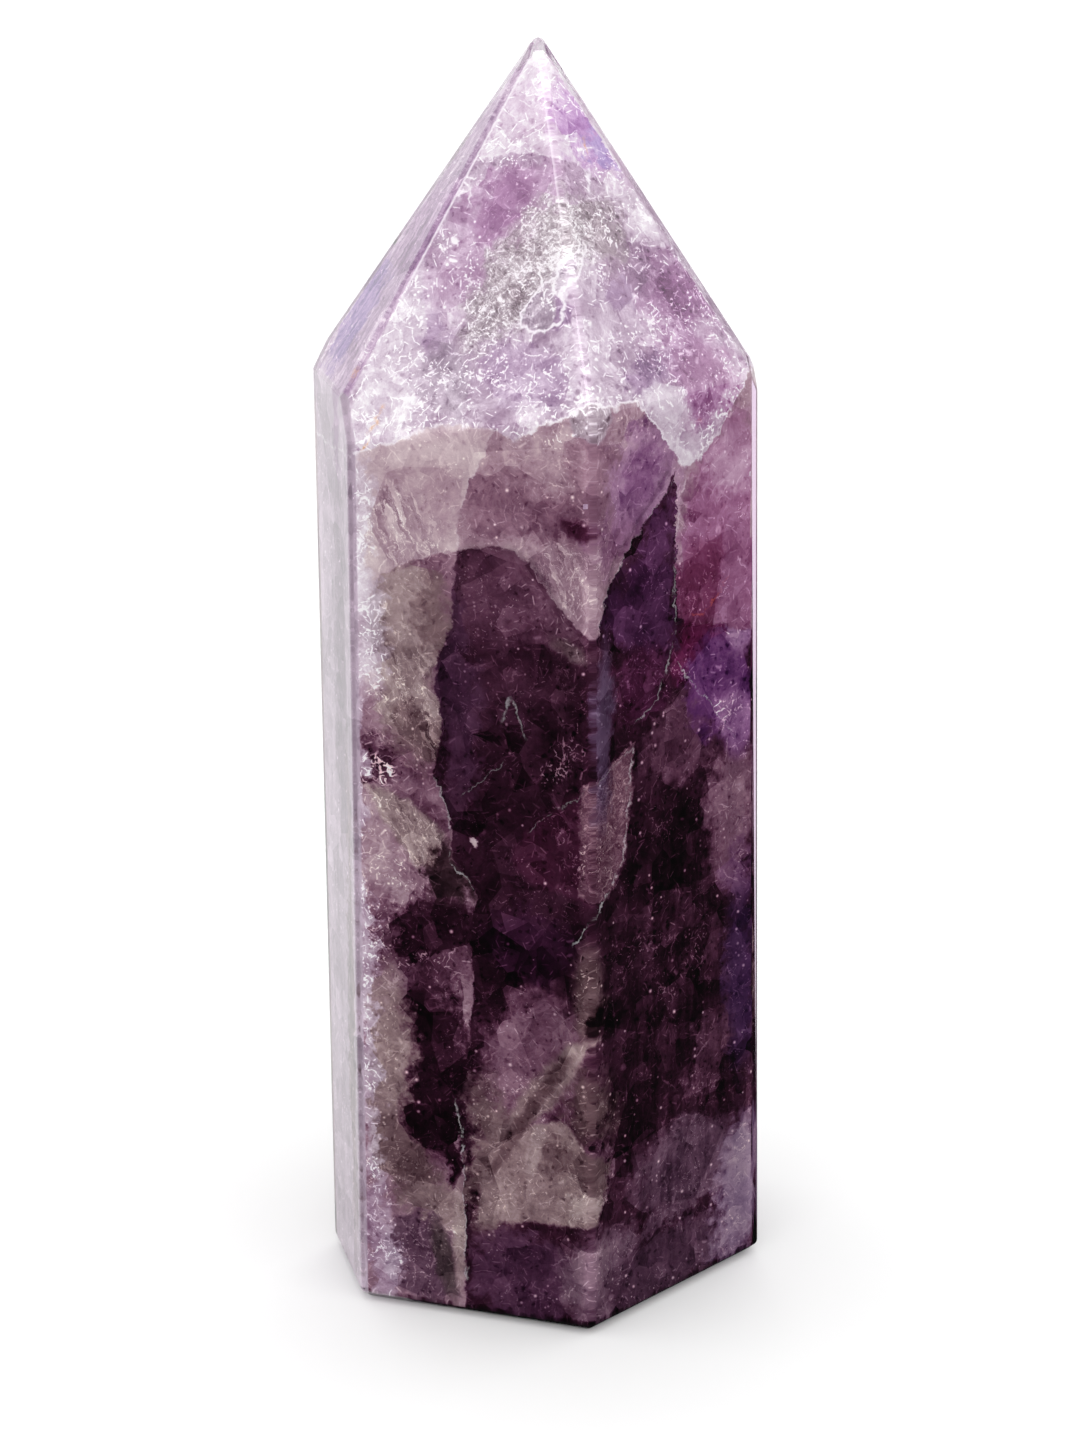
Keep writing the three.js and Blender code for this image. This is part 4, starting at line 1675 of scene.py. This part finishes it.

# Painted highlights: the bright outline of the flash and the ledge of the shoulder.
FLASH_AND_LEDGE_HIGHLIGHTS = (
    Crack("left outline of the flash", Outline.up(
        (3.4, 102.4), (1.4, 101), (1.1, 99.7), (-0.2, 98.7), (-1.8, 96.6), (-2.1, 95),
    ), thick=0.28, glow=1),
    Crack("right outline of the flash", Outline.up(
        (3.4, 102.4), (3, 101), (2.6, 99.8), (1.5, 98.6), (1.9, 97.3), (1.4, 96.2), (0.8, 95.4),
    ), thick=0.24, glow=0.9),
    Crack("foot of the flash", Outline(((-2.6, 95.7), (-0.8, 95.1), (0.3, 95.2), (1.8, 96.4))), thick=0.28,
          glow=1),
    Crack("ledge of the shoulder", Outline((
        (-2, 86.8), (-0.2, 88.1), (1.2, 88.4), (2.9, 89.2), (3.8, 89.7), (5.5, 89), (7.7, 89.2), (9.4, 86.8),
        (10.6, 84.9),
    )), thick=0.28, glow=0.7),
)
GOLD_CRACKS = (
    Crack("gold sliver at the shoulder", Outline.up(
        (-14.2, 88.7), (-14.5, 87.6), (-15.3, 86.4), (-15.6, 86.1),
    ), thick=0.3, glow=0.85),
    Crack("small gold sliver", Outline.up((-15.3, 86.2), (-15.8, 85.4), (-16.2, 84.6)), thick=0.22,
          glow=0.8),
    Crack("gold sliver at the corner", Outline.up((-16.6, 91.4), (-17.2, 90)), thick=0.2, glow=0.7),
    Crack("orange fleck in the point", Outline.up((3.3, 111.6), (3.5, 108.9)), thick=0.16, glow=0.8),
)
RED_CRACKS = (
    Crack("red crack", Outline(((12.2, 69.1), (13.9, 68.6), (15.4, 70.4), (16.6, 72.2))), thick=0.22,
          glow=0.7),
    Crack("salmon fleck", Outline(((13.1, 87.2), (13.9, 86.8))), thick=0.5, glow=0.5),
)
HIDDEN_CRACKS = (
    Crack("long crack at the back", Outline.up(
        (5, 88), (3.4, 78), (4.6, 68), (1.2, 60), (2, 50), (-1, 41),
    ), thick=0.18, glow=0.5),
    Crack("crack across the back", Outline(((-12, 34), (-6, 37), (0, 36), (6, 41), (12, 40))), thick=0.16,
          glow=0.45),
    Crack("crack low at the back", Outline.up((9, 27), (7, 18), (7.6, 9), (6, 2.8)), thick=0.18, glow=0.5),
    Crack("white vein at the back", Outline.up((2, 106), (0.6, 101), (-2.4, 97.6), (-3, 94)), thick=0.3,
          glow=0.9),
)
LINES = (
    LineSet(PALE_LINE, CRACKS),
    LineSet(GOLD_LINE, GOLD_CRACKS),
    LineSet(RED_LINE, RED_CRACKS),
    LineSet(PALE_LINE, FLASH_AND_LEDGE_HIGHLIGHTS, broken=False),
)
HIDDEN_LINES = (LineSet(PALE_LINE, HIDDEN_CRACKS),)

# Painted highlights along two edges of the tip.
EDGE_HIGHLIGHTS = (
    EdgeHighlight("front edge of the tip", (Side(248, on_tip=True), Side(312, on_tip=True)), 101, 120, 0.4, 0.1),
    EdgeHighlight("left edge of the front", (Side(199, on_tip=True), Side(248, on_tip=True)), 96, 120, 0.7),
)


@dataclass
class StoneInside:
    """The cloudy inside of the stone: dark amethyst, milky veils and silver clouds.

    Attributes:
        form: the stone's ground shape.
        effects: the shared shader groups.
        depth: how far behind the polished surface it begins.
        grain: the size of its mesh.
        daylight: how brightly the studio lights the front of the stone.
        lets_out: the share of light from an inclusion that leaves quartz at once.
        keeps_in: the share that the polished surface throws back at it.
        turned_away: a facet is hidden when its outward direction goes back by more than this.
        sinks: how far its surface is sunk on average.
        lumps: the size of its lumps, and their most height.
        folds: the size of its folds, and their most height.
        heart_sinks: how much farther the dark heart is sunk.
        prism_sinks: how much farther the rest below the shoulder is sunk.
        near_edges: how far from an edge the sinking begins and is full.
        least_level: the darkest milkiness that textures may reach.
        most_level: the brightest.
        fades: how fast the colours fade from milky to deep.
        joins: half the width of the soft joins between regions, and of the sharp ones.
        tapers: the two heights between which the upright streaks run together.
        whitest: the most light that an inclusion throws back.
        roughness: how dull the inclusions are.
    """

    form: StoneForm
    effects: Effects
    depth: float = 0.8
    grain: float = 0.45
    daylight: float = 1.45
    lets_out: float = 0.363
    keeps_in: float = 0.6
    turned_away: float = 0.1
    sinks: float = 0.35
    lumps: Place = (7.0, 0.5)
    folds: Place = (2.6, 0.4)
    heart_sinks: float = 0.9
    prism_sinks: float = 0.25
    near_edges: Place = (1.2, 4.5)
    least_level: float = 0.03
    most_level: float = 1.25
    fades: float = 2.2
    joins: Place = (0.15, 0.12)
    tapers: Place = (86.0, 120.0)
    whitest: float = 0.98
    roughness: float = 0.5

    def build(self) -> bpy.types.Object:
        """Cuts the body, gives it an even mesh and crumples its surface.

        Returns:
            The body.
        """
        shape = self.form.block(self.depth)
        shape.transform(Matrix.Scale(METRES, 4))
        mesh = bpy.data.meshes.new("body blank")
        shape.to_mesh(mesh)
        shape.free()
        blank = bpy.data.objects.new("body blank", mesh)
        bpy.context.collection.objects.link(blank)
        even = blank.modifiers.new("even mesh", "REMESH")
        even.mode = "VOXEL"
        even.voxel_size = self.grain * METRES
        graph = bpy.context.evaluated_depsgraph_get()
        shape = bmesh.new()
        shape.from_mesh(blank.evaluated_get(graph).to_mesh())
        bpy.data.objects.remove(blank)
        shape.transform(Matrix.Scale(1 / METRES, 4))
        shape.normal_update()
        moves = [(vert, vert.normal * self.sunk(vert.co)) for vert in shape.verts]
        for vert, move in moves:
            vert.co -= move
        parts = list(Part)
        for face in shape.faces:
            face.material_index = parts.index(self.part_of(face.calc_center_median()))
        return finished_piece("cloudy_inclusions", shape, *(self.material(part) for part in parts))

    def part_of(self, point: Vector) -> Part:
        """Finds the part of the inside that a point of its surface lies in.

        Args:
            point: the point.

        Returns:
            The part.
        """
        if self.form.nearest(point).normal.y > self.turned_away:
            return Part.BEHIND
        seen = (Part.PRISM, Part.SHOULDER, Part.TIP)
        return next((part for part in seen if part.reaches(point.z, point.z)), Part.TIP)

    def sunk(self, point: Vector) -> float:
        """Finds how far the body's surface is sunk at a point.

        Args:
            point: the point.

        Returns:
            The depth in millimetres.
        """
        depth = self.sinks + noise.noise(point / self.lumps[0]) * self.lumps[1]
        elsewhere = Vector((7, 3, 1))  # so that the folds don't follow the lumps
        folds = abs(noise.noise(point / self.folds[0] + elsewhere)) * self.folds[1]
        if point.y < 0 and SHOULDER.past_here(point) < 0:
            in_heart = HEART_EDGE.past_here(point) > 0 > VEIL_HEM.past_here(point)
            depth += self.heart_sinks if in_heart else self.prism_sinks
        return max(depth + folds, 0.0) * ease(self.form.edge_distance(point), *self.near_edges)

    def painted(self, s: NodeSketch, point: object, near: object, ragged: object, part: Part) -> Paint:
        """Paints the regions and joins them at their outlines.

        Args:
            s: the material's sketch.
            point: where the edges between facets are read.
            near: the same point, only a little ragged, where outlines are read.
            ragged: the ragged point where zones are read.
            part: the part of the inside that they are painted in.

        Returns:
            What has been painted.
        """
        wide, narrow = self.joins

        def regional(region: Region) -> Paint:
            """Paints one region."""
            return region.paint(s, self, near, ragged, part)

        def joined(lower: Paint, upper: Paint, outline: Outline, edge: float) -> Paint:
            """Joins two finishes at an outline."""
            return lower.under(s, upper, s.remap(outline.past(s, near), -edge, edge))

        def prism() -> Paint:
            """Paints all below the shoulder.

            Returns:
                What has been painted.
            """
            right = joined(regional(HEART), regional(MAUVE_VEIL), VEIL_HEM, wide)
            left = joined(regional(LEFT_LAYERS), regional(WARM_VEIL), ARCH, wide)
            return joined(left, right, HEART_EDGE, narrow)

        def tip() -> Paint:
            """Paints all above the shoulder."""
            return joined(regional(TIP_CLOUDS), regional(POINT_CAP), TIP_ARCH, narrow)

        if part in (Part.PRISM, Part.TIP):
            whole = prism() if part is Part.PRISM else tip()
        else:
            whole = joined(prism(), tip(), SHOULDER, wide)
        for side, region, parts in CLEAR_SIDES:
            if part in parts:
                whole = whole.under(s, regional(region), side.mask(s, self, point, narrow))
        return whole

    def grains(self, s: NodeSketch, point: object, strength: object) -> Socket:
        """Draws crossed fibres, upright streaks and slanted streaks.

        Args:
            s: the material's sketch.
            point: where they are read.
            strength: how strong each of the three is, as one vector.

        Returns:
            What they add to the milkiness.
        """
        def fibres(lean: float) -> Socket:
            """Draws fibres that lean so many degrees."""
            space = s.stretched(point, (0, lean, 0), (0.28, 1.2, 1.5))
            return s.group(self.effects.fibres, Space=space, Thickness=0.06)

        # Each kind varies about 0, so that it doesn't change the average.
        crossed, upright, slanted = s.parts(strength)
        net = s.math("SUBTRACT", s.plus(fibres(48), fibres(-50)), 0.55)
        added = s.times(net, s.times(crossed, 0.2))
        height = s.dot(point, UPWARDS)
        tapered = s.mix((1, 1, 1), (0.03, 0.03, 1), s.remap(height, *self.tapers, smooth=False))
        straight = s.stretched(s.vector("DIVIDE", point, tapered), (0, 0, 0), (0.9, 0.9, 16.0))
        up = s.swing(s.noise(straight, per_mm=1.0, detail=3.0, rough=0.7, bend=0.2), 1.1)
        added = s.plus(added, s.times(up, upright))
        space = s.stretched(point, (0, -24, 0), (0.6, 1.0, 5.0))
        sheets = s.times(s.group(self.effects.flakes, Point=space, Per_mm=0.8), 0.1)
        strands = s.times(s.group(self.effects.fibres, Space=space, Thickness=0.014), 0.24)
        return s.plus(added, s.times(s.plus(sheets, s.plus(strands, -0.05)), slanted))

    def shine(self, s: NodeSketch, point: object, near: object, look: Look) -> Socket:
        """Draws painted glints and highlights: splinters, glints, flecks in patches, and specks, which are
        partly pale marks of the stone.

        Args:
            s: the material's sketch.
            point: the point.
            near: the same point, a little ragged.
            look: how the inside is textured there.

        Returns:
            What they add to the milkiness.
        """
        small = s.group(self.effects.splinters, Point=point, Per_mm=1.2, Thickness=0.08, Share=0.8)
        large = s.group(self.effects.splinters, Point=near, Per_mm=0.45, Thickness=0.11, Share=0.7)
        glints = s.group(self.effects.glints, Point=point, Amount=look.sparkle)
        specks = s.group(self.effects.specks, Point=point, Per_mm=0.9, Size=0.22, Share=0.4)
        patches = s.remap(s.noise(near, per_mm=0.17, detail=2.0), 0.55, 0.6)
        flecks = s.group(self.effects.specks, Point=point, Per_mm=2.4, Size=0.42, Share=0.4)
        flecks = s.times(s.times(flecks, patches), s.rising(0.3, 0.3, look.sparkle))
        lines = s.times(s.math("MAXIMUM", small, large), s.rising(0.1, 0.5, look.sparkle))
        glints = s.times(glints, s.rising(0.2, 0.55, look.sparkle))
        specks = s.times(specks, s.rising(0.85, -0.65, look.level))
        points = s.math("MAXIMUM", glints, s.math("MAXIMUM", flecks, specks))
        return s.math("MAXIMUM", lines, points)

    def textured(self, s: NodeSketch, point: object, near: object, paint: Paint, flakes: object) -> Socket:
        """Draws the textures of what has been painted.

        Args:
            s: the material's sketch.
            point: the point.
            near: the same point, a little ragged.
            paint: what has been painted.
            flakes: the amount that the flakes add.

        Returns:
            The inclusions' own colour.
        """
        look = Look(*s.parts(paint.look))
        clouds = s.group(self.effects.clouds, Point=point)
        average = s.math("SUBTRACT", look.level, s.rising(0.005, 0.08, look.sparkle))
        mottled = s.times(look.mottle, s.rising(0.4, 0.6, look.level))
        level = s.plus(average, s.rising(s.times(flakes, 0.04), mottled, clouds))
        level = s.plus(level, self.grains(s, near, paint.grain))
        dust = s.group(self.effects.dust, Point=near, Per_mm=1.5)
        level = s.math("SUBTRACT", level, s.times(dust, s.times(look.mottle, 1.5)))
        # Adds the painted glints and highlights to the milkiness.
        level = s.plus(level, self.shine(s, point, near, look))
        level = s.math("MINIMUM", s.math("MAXIMUM", level, self.least_level), self.most_level)
        fade = s.vector("SCALE", paint.tint, scale=self.fades)
        shown = s.vector("MULTIPLY", paint.milk, s.vector("POWER", s.thrice(level), fade))
        around = s.vector("MULTIPLY", paint.milk, s.vector("POWER", s.thrice(look.level), fade))
        return self.through_polish(s, shown, around)

    def lined(self, s: NodeSketch, point: object, near: object, colour: object, part: Part) -> Socket:
        """Draws the thin bright lines over a colour: cracks, which are partly painted reflections, and
        painted highlights along the torn shoulder and sharp edges.

        Args:
            s: the material's sketch.
            point: the point.
            near: the same point, a little ragged.
            colour: the colour.
            part: the part of the inside that they are drawn in.

        Returns:
            The colour with the lines.
        """
        broken = s.remap(s.noise(point, per_mm=0.7, detail=4.0, rough=0.7), 0.4, 0.6)
        for lines in HIDDEN_LINES if part is Part.BEHIND else LINES:
            cracks = [crack for crack in lines.cracks if crack.line.shows_in(part)]
            if not cracks:
                continue
            glow: object = 0.0
            for crack in cracks:
                glow = s.math("MAXIMUM", glow, crack.mask(s, near, part))
            glow = s.times(glow, broken) if lines.broken else glow
            colour = s.mix(colour, lines.colour, glow)
        # A painted highlight along the torn ledge of the shoulder.
        if part in (Part.SHOULDER, Part.BEHIND):
            glow = s.remap(s.math("ABSOLUTE", SHOULDER.past(s, near)), 0.0, 0.25, 0.7, 0.0)
            colour = s.mix(colour, PALE_LINE, s.times(glow, broken))
        # Painted highlights along the sharp edges of the tip.
        if part is Part.TIP:
            glow = 0.0
            for ridge in EDGE_HIGHLIGHTS:
                glow = s.math("MAXIMUM", glow, ridge.mask(s, self.form, point))
            colour = s.mix(colour, PALE_LINE, glow)
        return colour

    def material(self, part: Part) -> bpy.types.Material:
        """Paints the regions of one part, the textures in them and the cracks.

        Args:
            part: the part of the inside.

        Returns:
            Its finish.
        """
        made, s, surface = new_material(part.finish_name)
        point = s.millimetres()
        moved = s.effect(self.effects.ragged, Point=point)
        near = moved.outputs["Near"]
        big = s.effect(self.effects.flakes, Point=point, Per_mm=0.16)
        small = s.effect(self.effects.flakes, Point=point, Per_mm=0.42)
        jump = s.vector("ADD", s.vector("SCALE", big.outputs["Jump"], scale=0.12),
                        s.vector("SCALE", small.outputs["Jump"], scale=0.25))
        ragged = s.vector("ADD", moved.outputs["Ragged"], jump)
        paint = self.painted(s, point, near, ragged, part)
        flakes = s.plus(big.outputs["Amount"], small.outputs["Amount"])
        colour = self.textured(s, point, near, paint, flakes)
        s.feed(surface.inputs["Base Color"], self.lined(s, point, near, colour, part))
        surface.inputs["Roughness"].default_value = self.roughness
        surface.inputs["Specular IOR Level"].default_value = 0.0
        return made

    def through_polish(self, s: NodeSketch, shown: object, around: object) -> Socket:
        """Turns a colour that shows through polished quartz into the inclusion's own colour.

        Quartz throws part of the light that comes from the inclusions back at them, so that a place
        looks brighter among pale inclusions than among dark ones.

        Args:
            s: the material's sketch.
            shown: the colour that shows.
            around: the colour that shows for some millimetres around.

        Returns:
            The inclusion's own colour.
        """
        kept = s.vector("SCALE", around, scale=self.keeps_in)
        light = self.lets_out * self.daylight
        own = s.vector("DIVIDE", shown, s.vector("ADD", kept, (light,) * 3))
        return s.vector("MINIMUM", own, (self.whitest,) * 3)


@dataclass
class Studio:
    """A white floor, soft light from all round, and the camera.

    Attributes:
        camera_at: the camera's place.
        looks_down: its angle below the horizon, in degrees.
        lens: its focal length.
        sensor: the width of its picture.
        sees: how near and how far it sees, in metres.
        sky: how bright the light all round is.
        floor_half: half the floor's side.
        floor_white: the share of light that the floor sends back.
        dull: the roughness of the floor and the flags.
        floor_gap: millimetres between the floor and the stone's base, so that the two share no plane.
        flags: the dark flags, each by its name and its corners with the least and the most X and Y.
        flag_height: how high they lie over the floor.
        flag_white: the share of light that they send back.
        softbox_at: the middle of the soft light in front.
        softbox_aims_at: what it is turned towards.
        softbox_size: its width and height.
        softbox_watts: its strength.
    """

    camera_at: Triple = (-0.25, -241.3, 128.95)
    looks_down: float = 17.0
    lens: float = 64.55
    sensor: float = 36.0
    sees: Place = (0.01, 50.0)
    sky: float = 1.5
    floor_half: float = 8000.0
    floor_white: float = 0.8
    dull: float = 0.9
    floor_gap: float = 0.03
    flags: tuple[tuple[str, Place, Place], ...] = (
        ("front_flag", (-500, -600), (600, -14)),
        ("right_flag", (6, -14), (600, 24)),
    )
    flag_height: float = 0.4
    flag_white: float = 0.02
    softbox_at: Triple = (60.0, -500.0, 460.0)
    softbox_aims_at: Triple = (0.0, 0.0, 60.0)
    softbox_size: Place = (700.0, 500.0)
    softbox_watts: float = 3.8

    def build(self) -> None:
        """Builds the camera, the floor and the light."""
        self.camera()
        self.floor()
        self.light()
        bpy.context.scene.view_settings.view_transform = "Standard"

    def camera(self) -> None:
        """Sets up the camera at the photograph's angle."""
        data = bpy.data.cameras.new("camera")
        data.lens = self.lens
        data.sensor_width = self.sensor
        data.clip_start, data.clip_end = self.sees
        camera = bpy.data.objects.new("camera", data)
        camera.location = Vector(self.camera_at) * METRES
        camera.rotation_euler = (math.radians(90 - self.looks_down), 0, 0)
        bpy.context.collection.objects.link(camera)
        bpy.context.scene.camera = camera

    def sheet(self, name: str, low: Place, high: Place, height: float, white: float) -> bpy.types.Object:
        """Lays a flat sheet, which isn't part of the stone.

        Args:
            name: the sheet's name.
            low: its corner with the lowest X and Y.
            high: its corner with the highest X and Y.
            height: how high it lies.
            white: the share of light that it sends back.

        Returns:
            The sheet.
        """
        shape = bmesh.new()
        bmesh.ops.create_grid(shape, x_segments=1, y_segments=1, size=0.5)
        size = Vector((high[0] - low[0], high[1] - low[1], 1.0))
        middle = Vector(((low[0] + high[0]) / 2, (low[1] + high[1]) / 2, height))
        shape.transform(Matrix.LocRotScale(middle * METRES, None, size * METRES))
        mesh = bpy.data.meshes.new(name)
        shape.to_mesh(mesh)
        shape.free()
        made, _, surface = new_material(name)
        surface.inputs["Base Color"].default_value = (white, white, white, 1.0)
        surface.inputs["Roughness"].default_value = self.dull
        surface.inputs["Specular IOR Level"].default_value = 0.0
        mesh.materials.append(made)
        lying = bpy.data.objects.new(name, mesh)
        bpy.context.collection.objects.link(lying)
        return lying

    def floor(self) -> None:
        """Lays the floor, and the dark flags that only reflections show."""
        half = self.floor_half
        self.sheet("studio_floor", (-half, -half), (half, half), -self.floor_gap, self.floor_white)
        for name, low, high in self.flags:
            flag = self.sheet(name, low, high, self.flag_height, self.flag_white)
            flag.visible_camera = False
            flag.visible_diffuse = False
            flag.visible_transmission = False
            flag.visible_shadow = False

    def light(self) -> None:
        """Lights the scene from all round, and a little more from the front."""
        world = bpy.data.worlds.new("white tent")
        bpy.context.scene.world = world
        world.use_nodes = True
        sky = world.node_tree.nodes["Background"]
        sky.inputs["Color"].default_value = WHITE
        sky.inputs["Strength"].default_value = self.sky
        data = bpy.data.lights.new("softbox", "AREA")
        data.shape = "RECTANGLE"
        data.size = self.softbox_size[0] * METRES
        data.size_y = self.softbox_size[1] * METRES
        data.energy = self.softbox_watts
        lamp = bpy.data.objects.new("softbox", data)
        lamp.location = Vector(self.softbox_at) * METRES
        aim = Vector(self.softbox_aims_at) - Vector(self.softbox_at)
        lamp.rotation_euler = aim.to_track_quat("-Z", "Y").to_euler()
        bpy.context.collection.objects.link(lamp)
        spared = bpy.data.collections.new("not lit by the softbox")
        spared.objects.link(bpy.data.objects["studio_floor"])
        spared.collection_objects[0].light_linking.link_state = "EXCLUDE"
        lamp.light_linking.receiver_collection = spared


def main() -> None:
    """Builds the studio and the stone."""
    logging.basicConfig(level=logging.INFO, format="%(name)s: %(message)s")
    Studio().build()
    form = StoneForm()
    effects = Effects()
    PolishedSkin().build()
    StoneInside(form, effects).build()


if __name__ == "__main__":
    main()
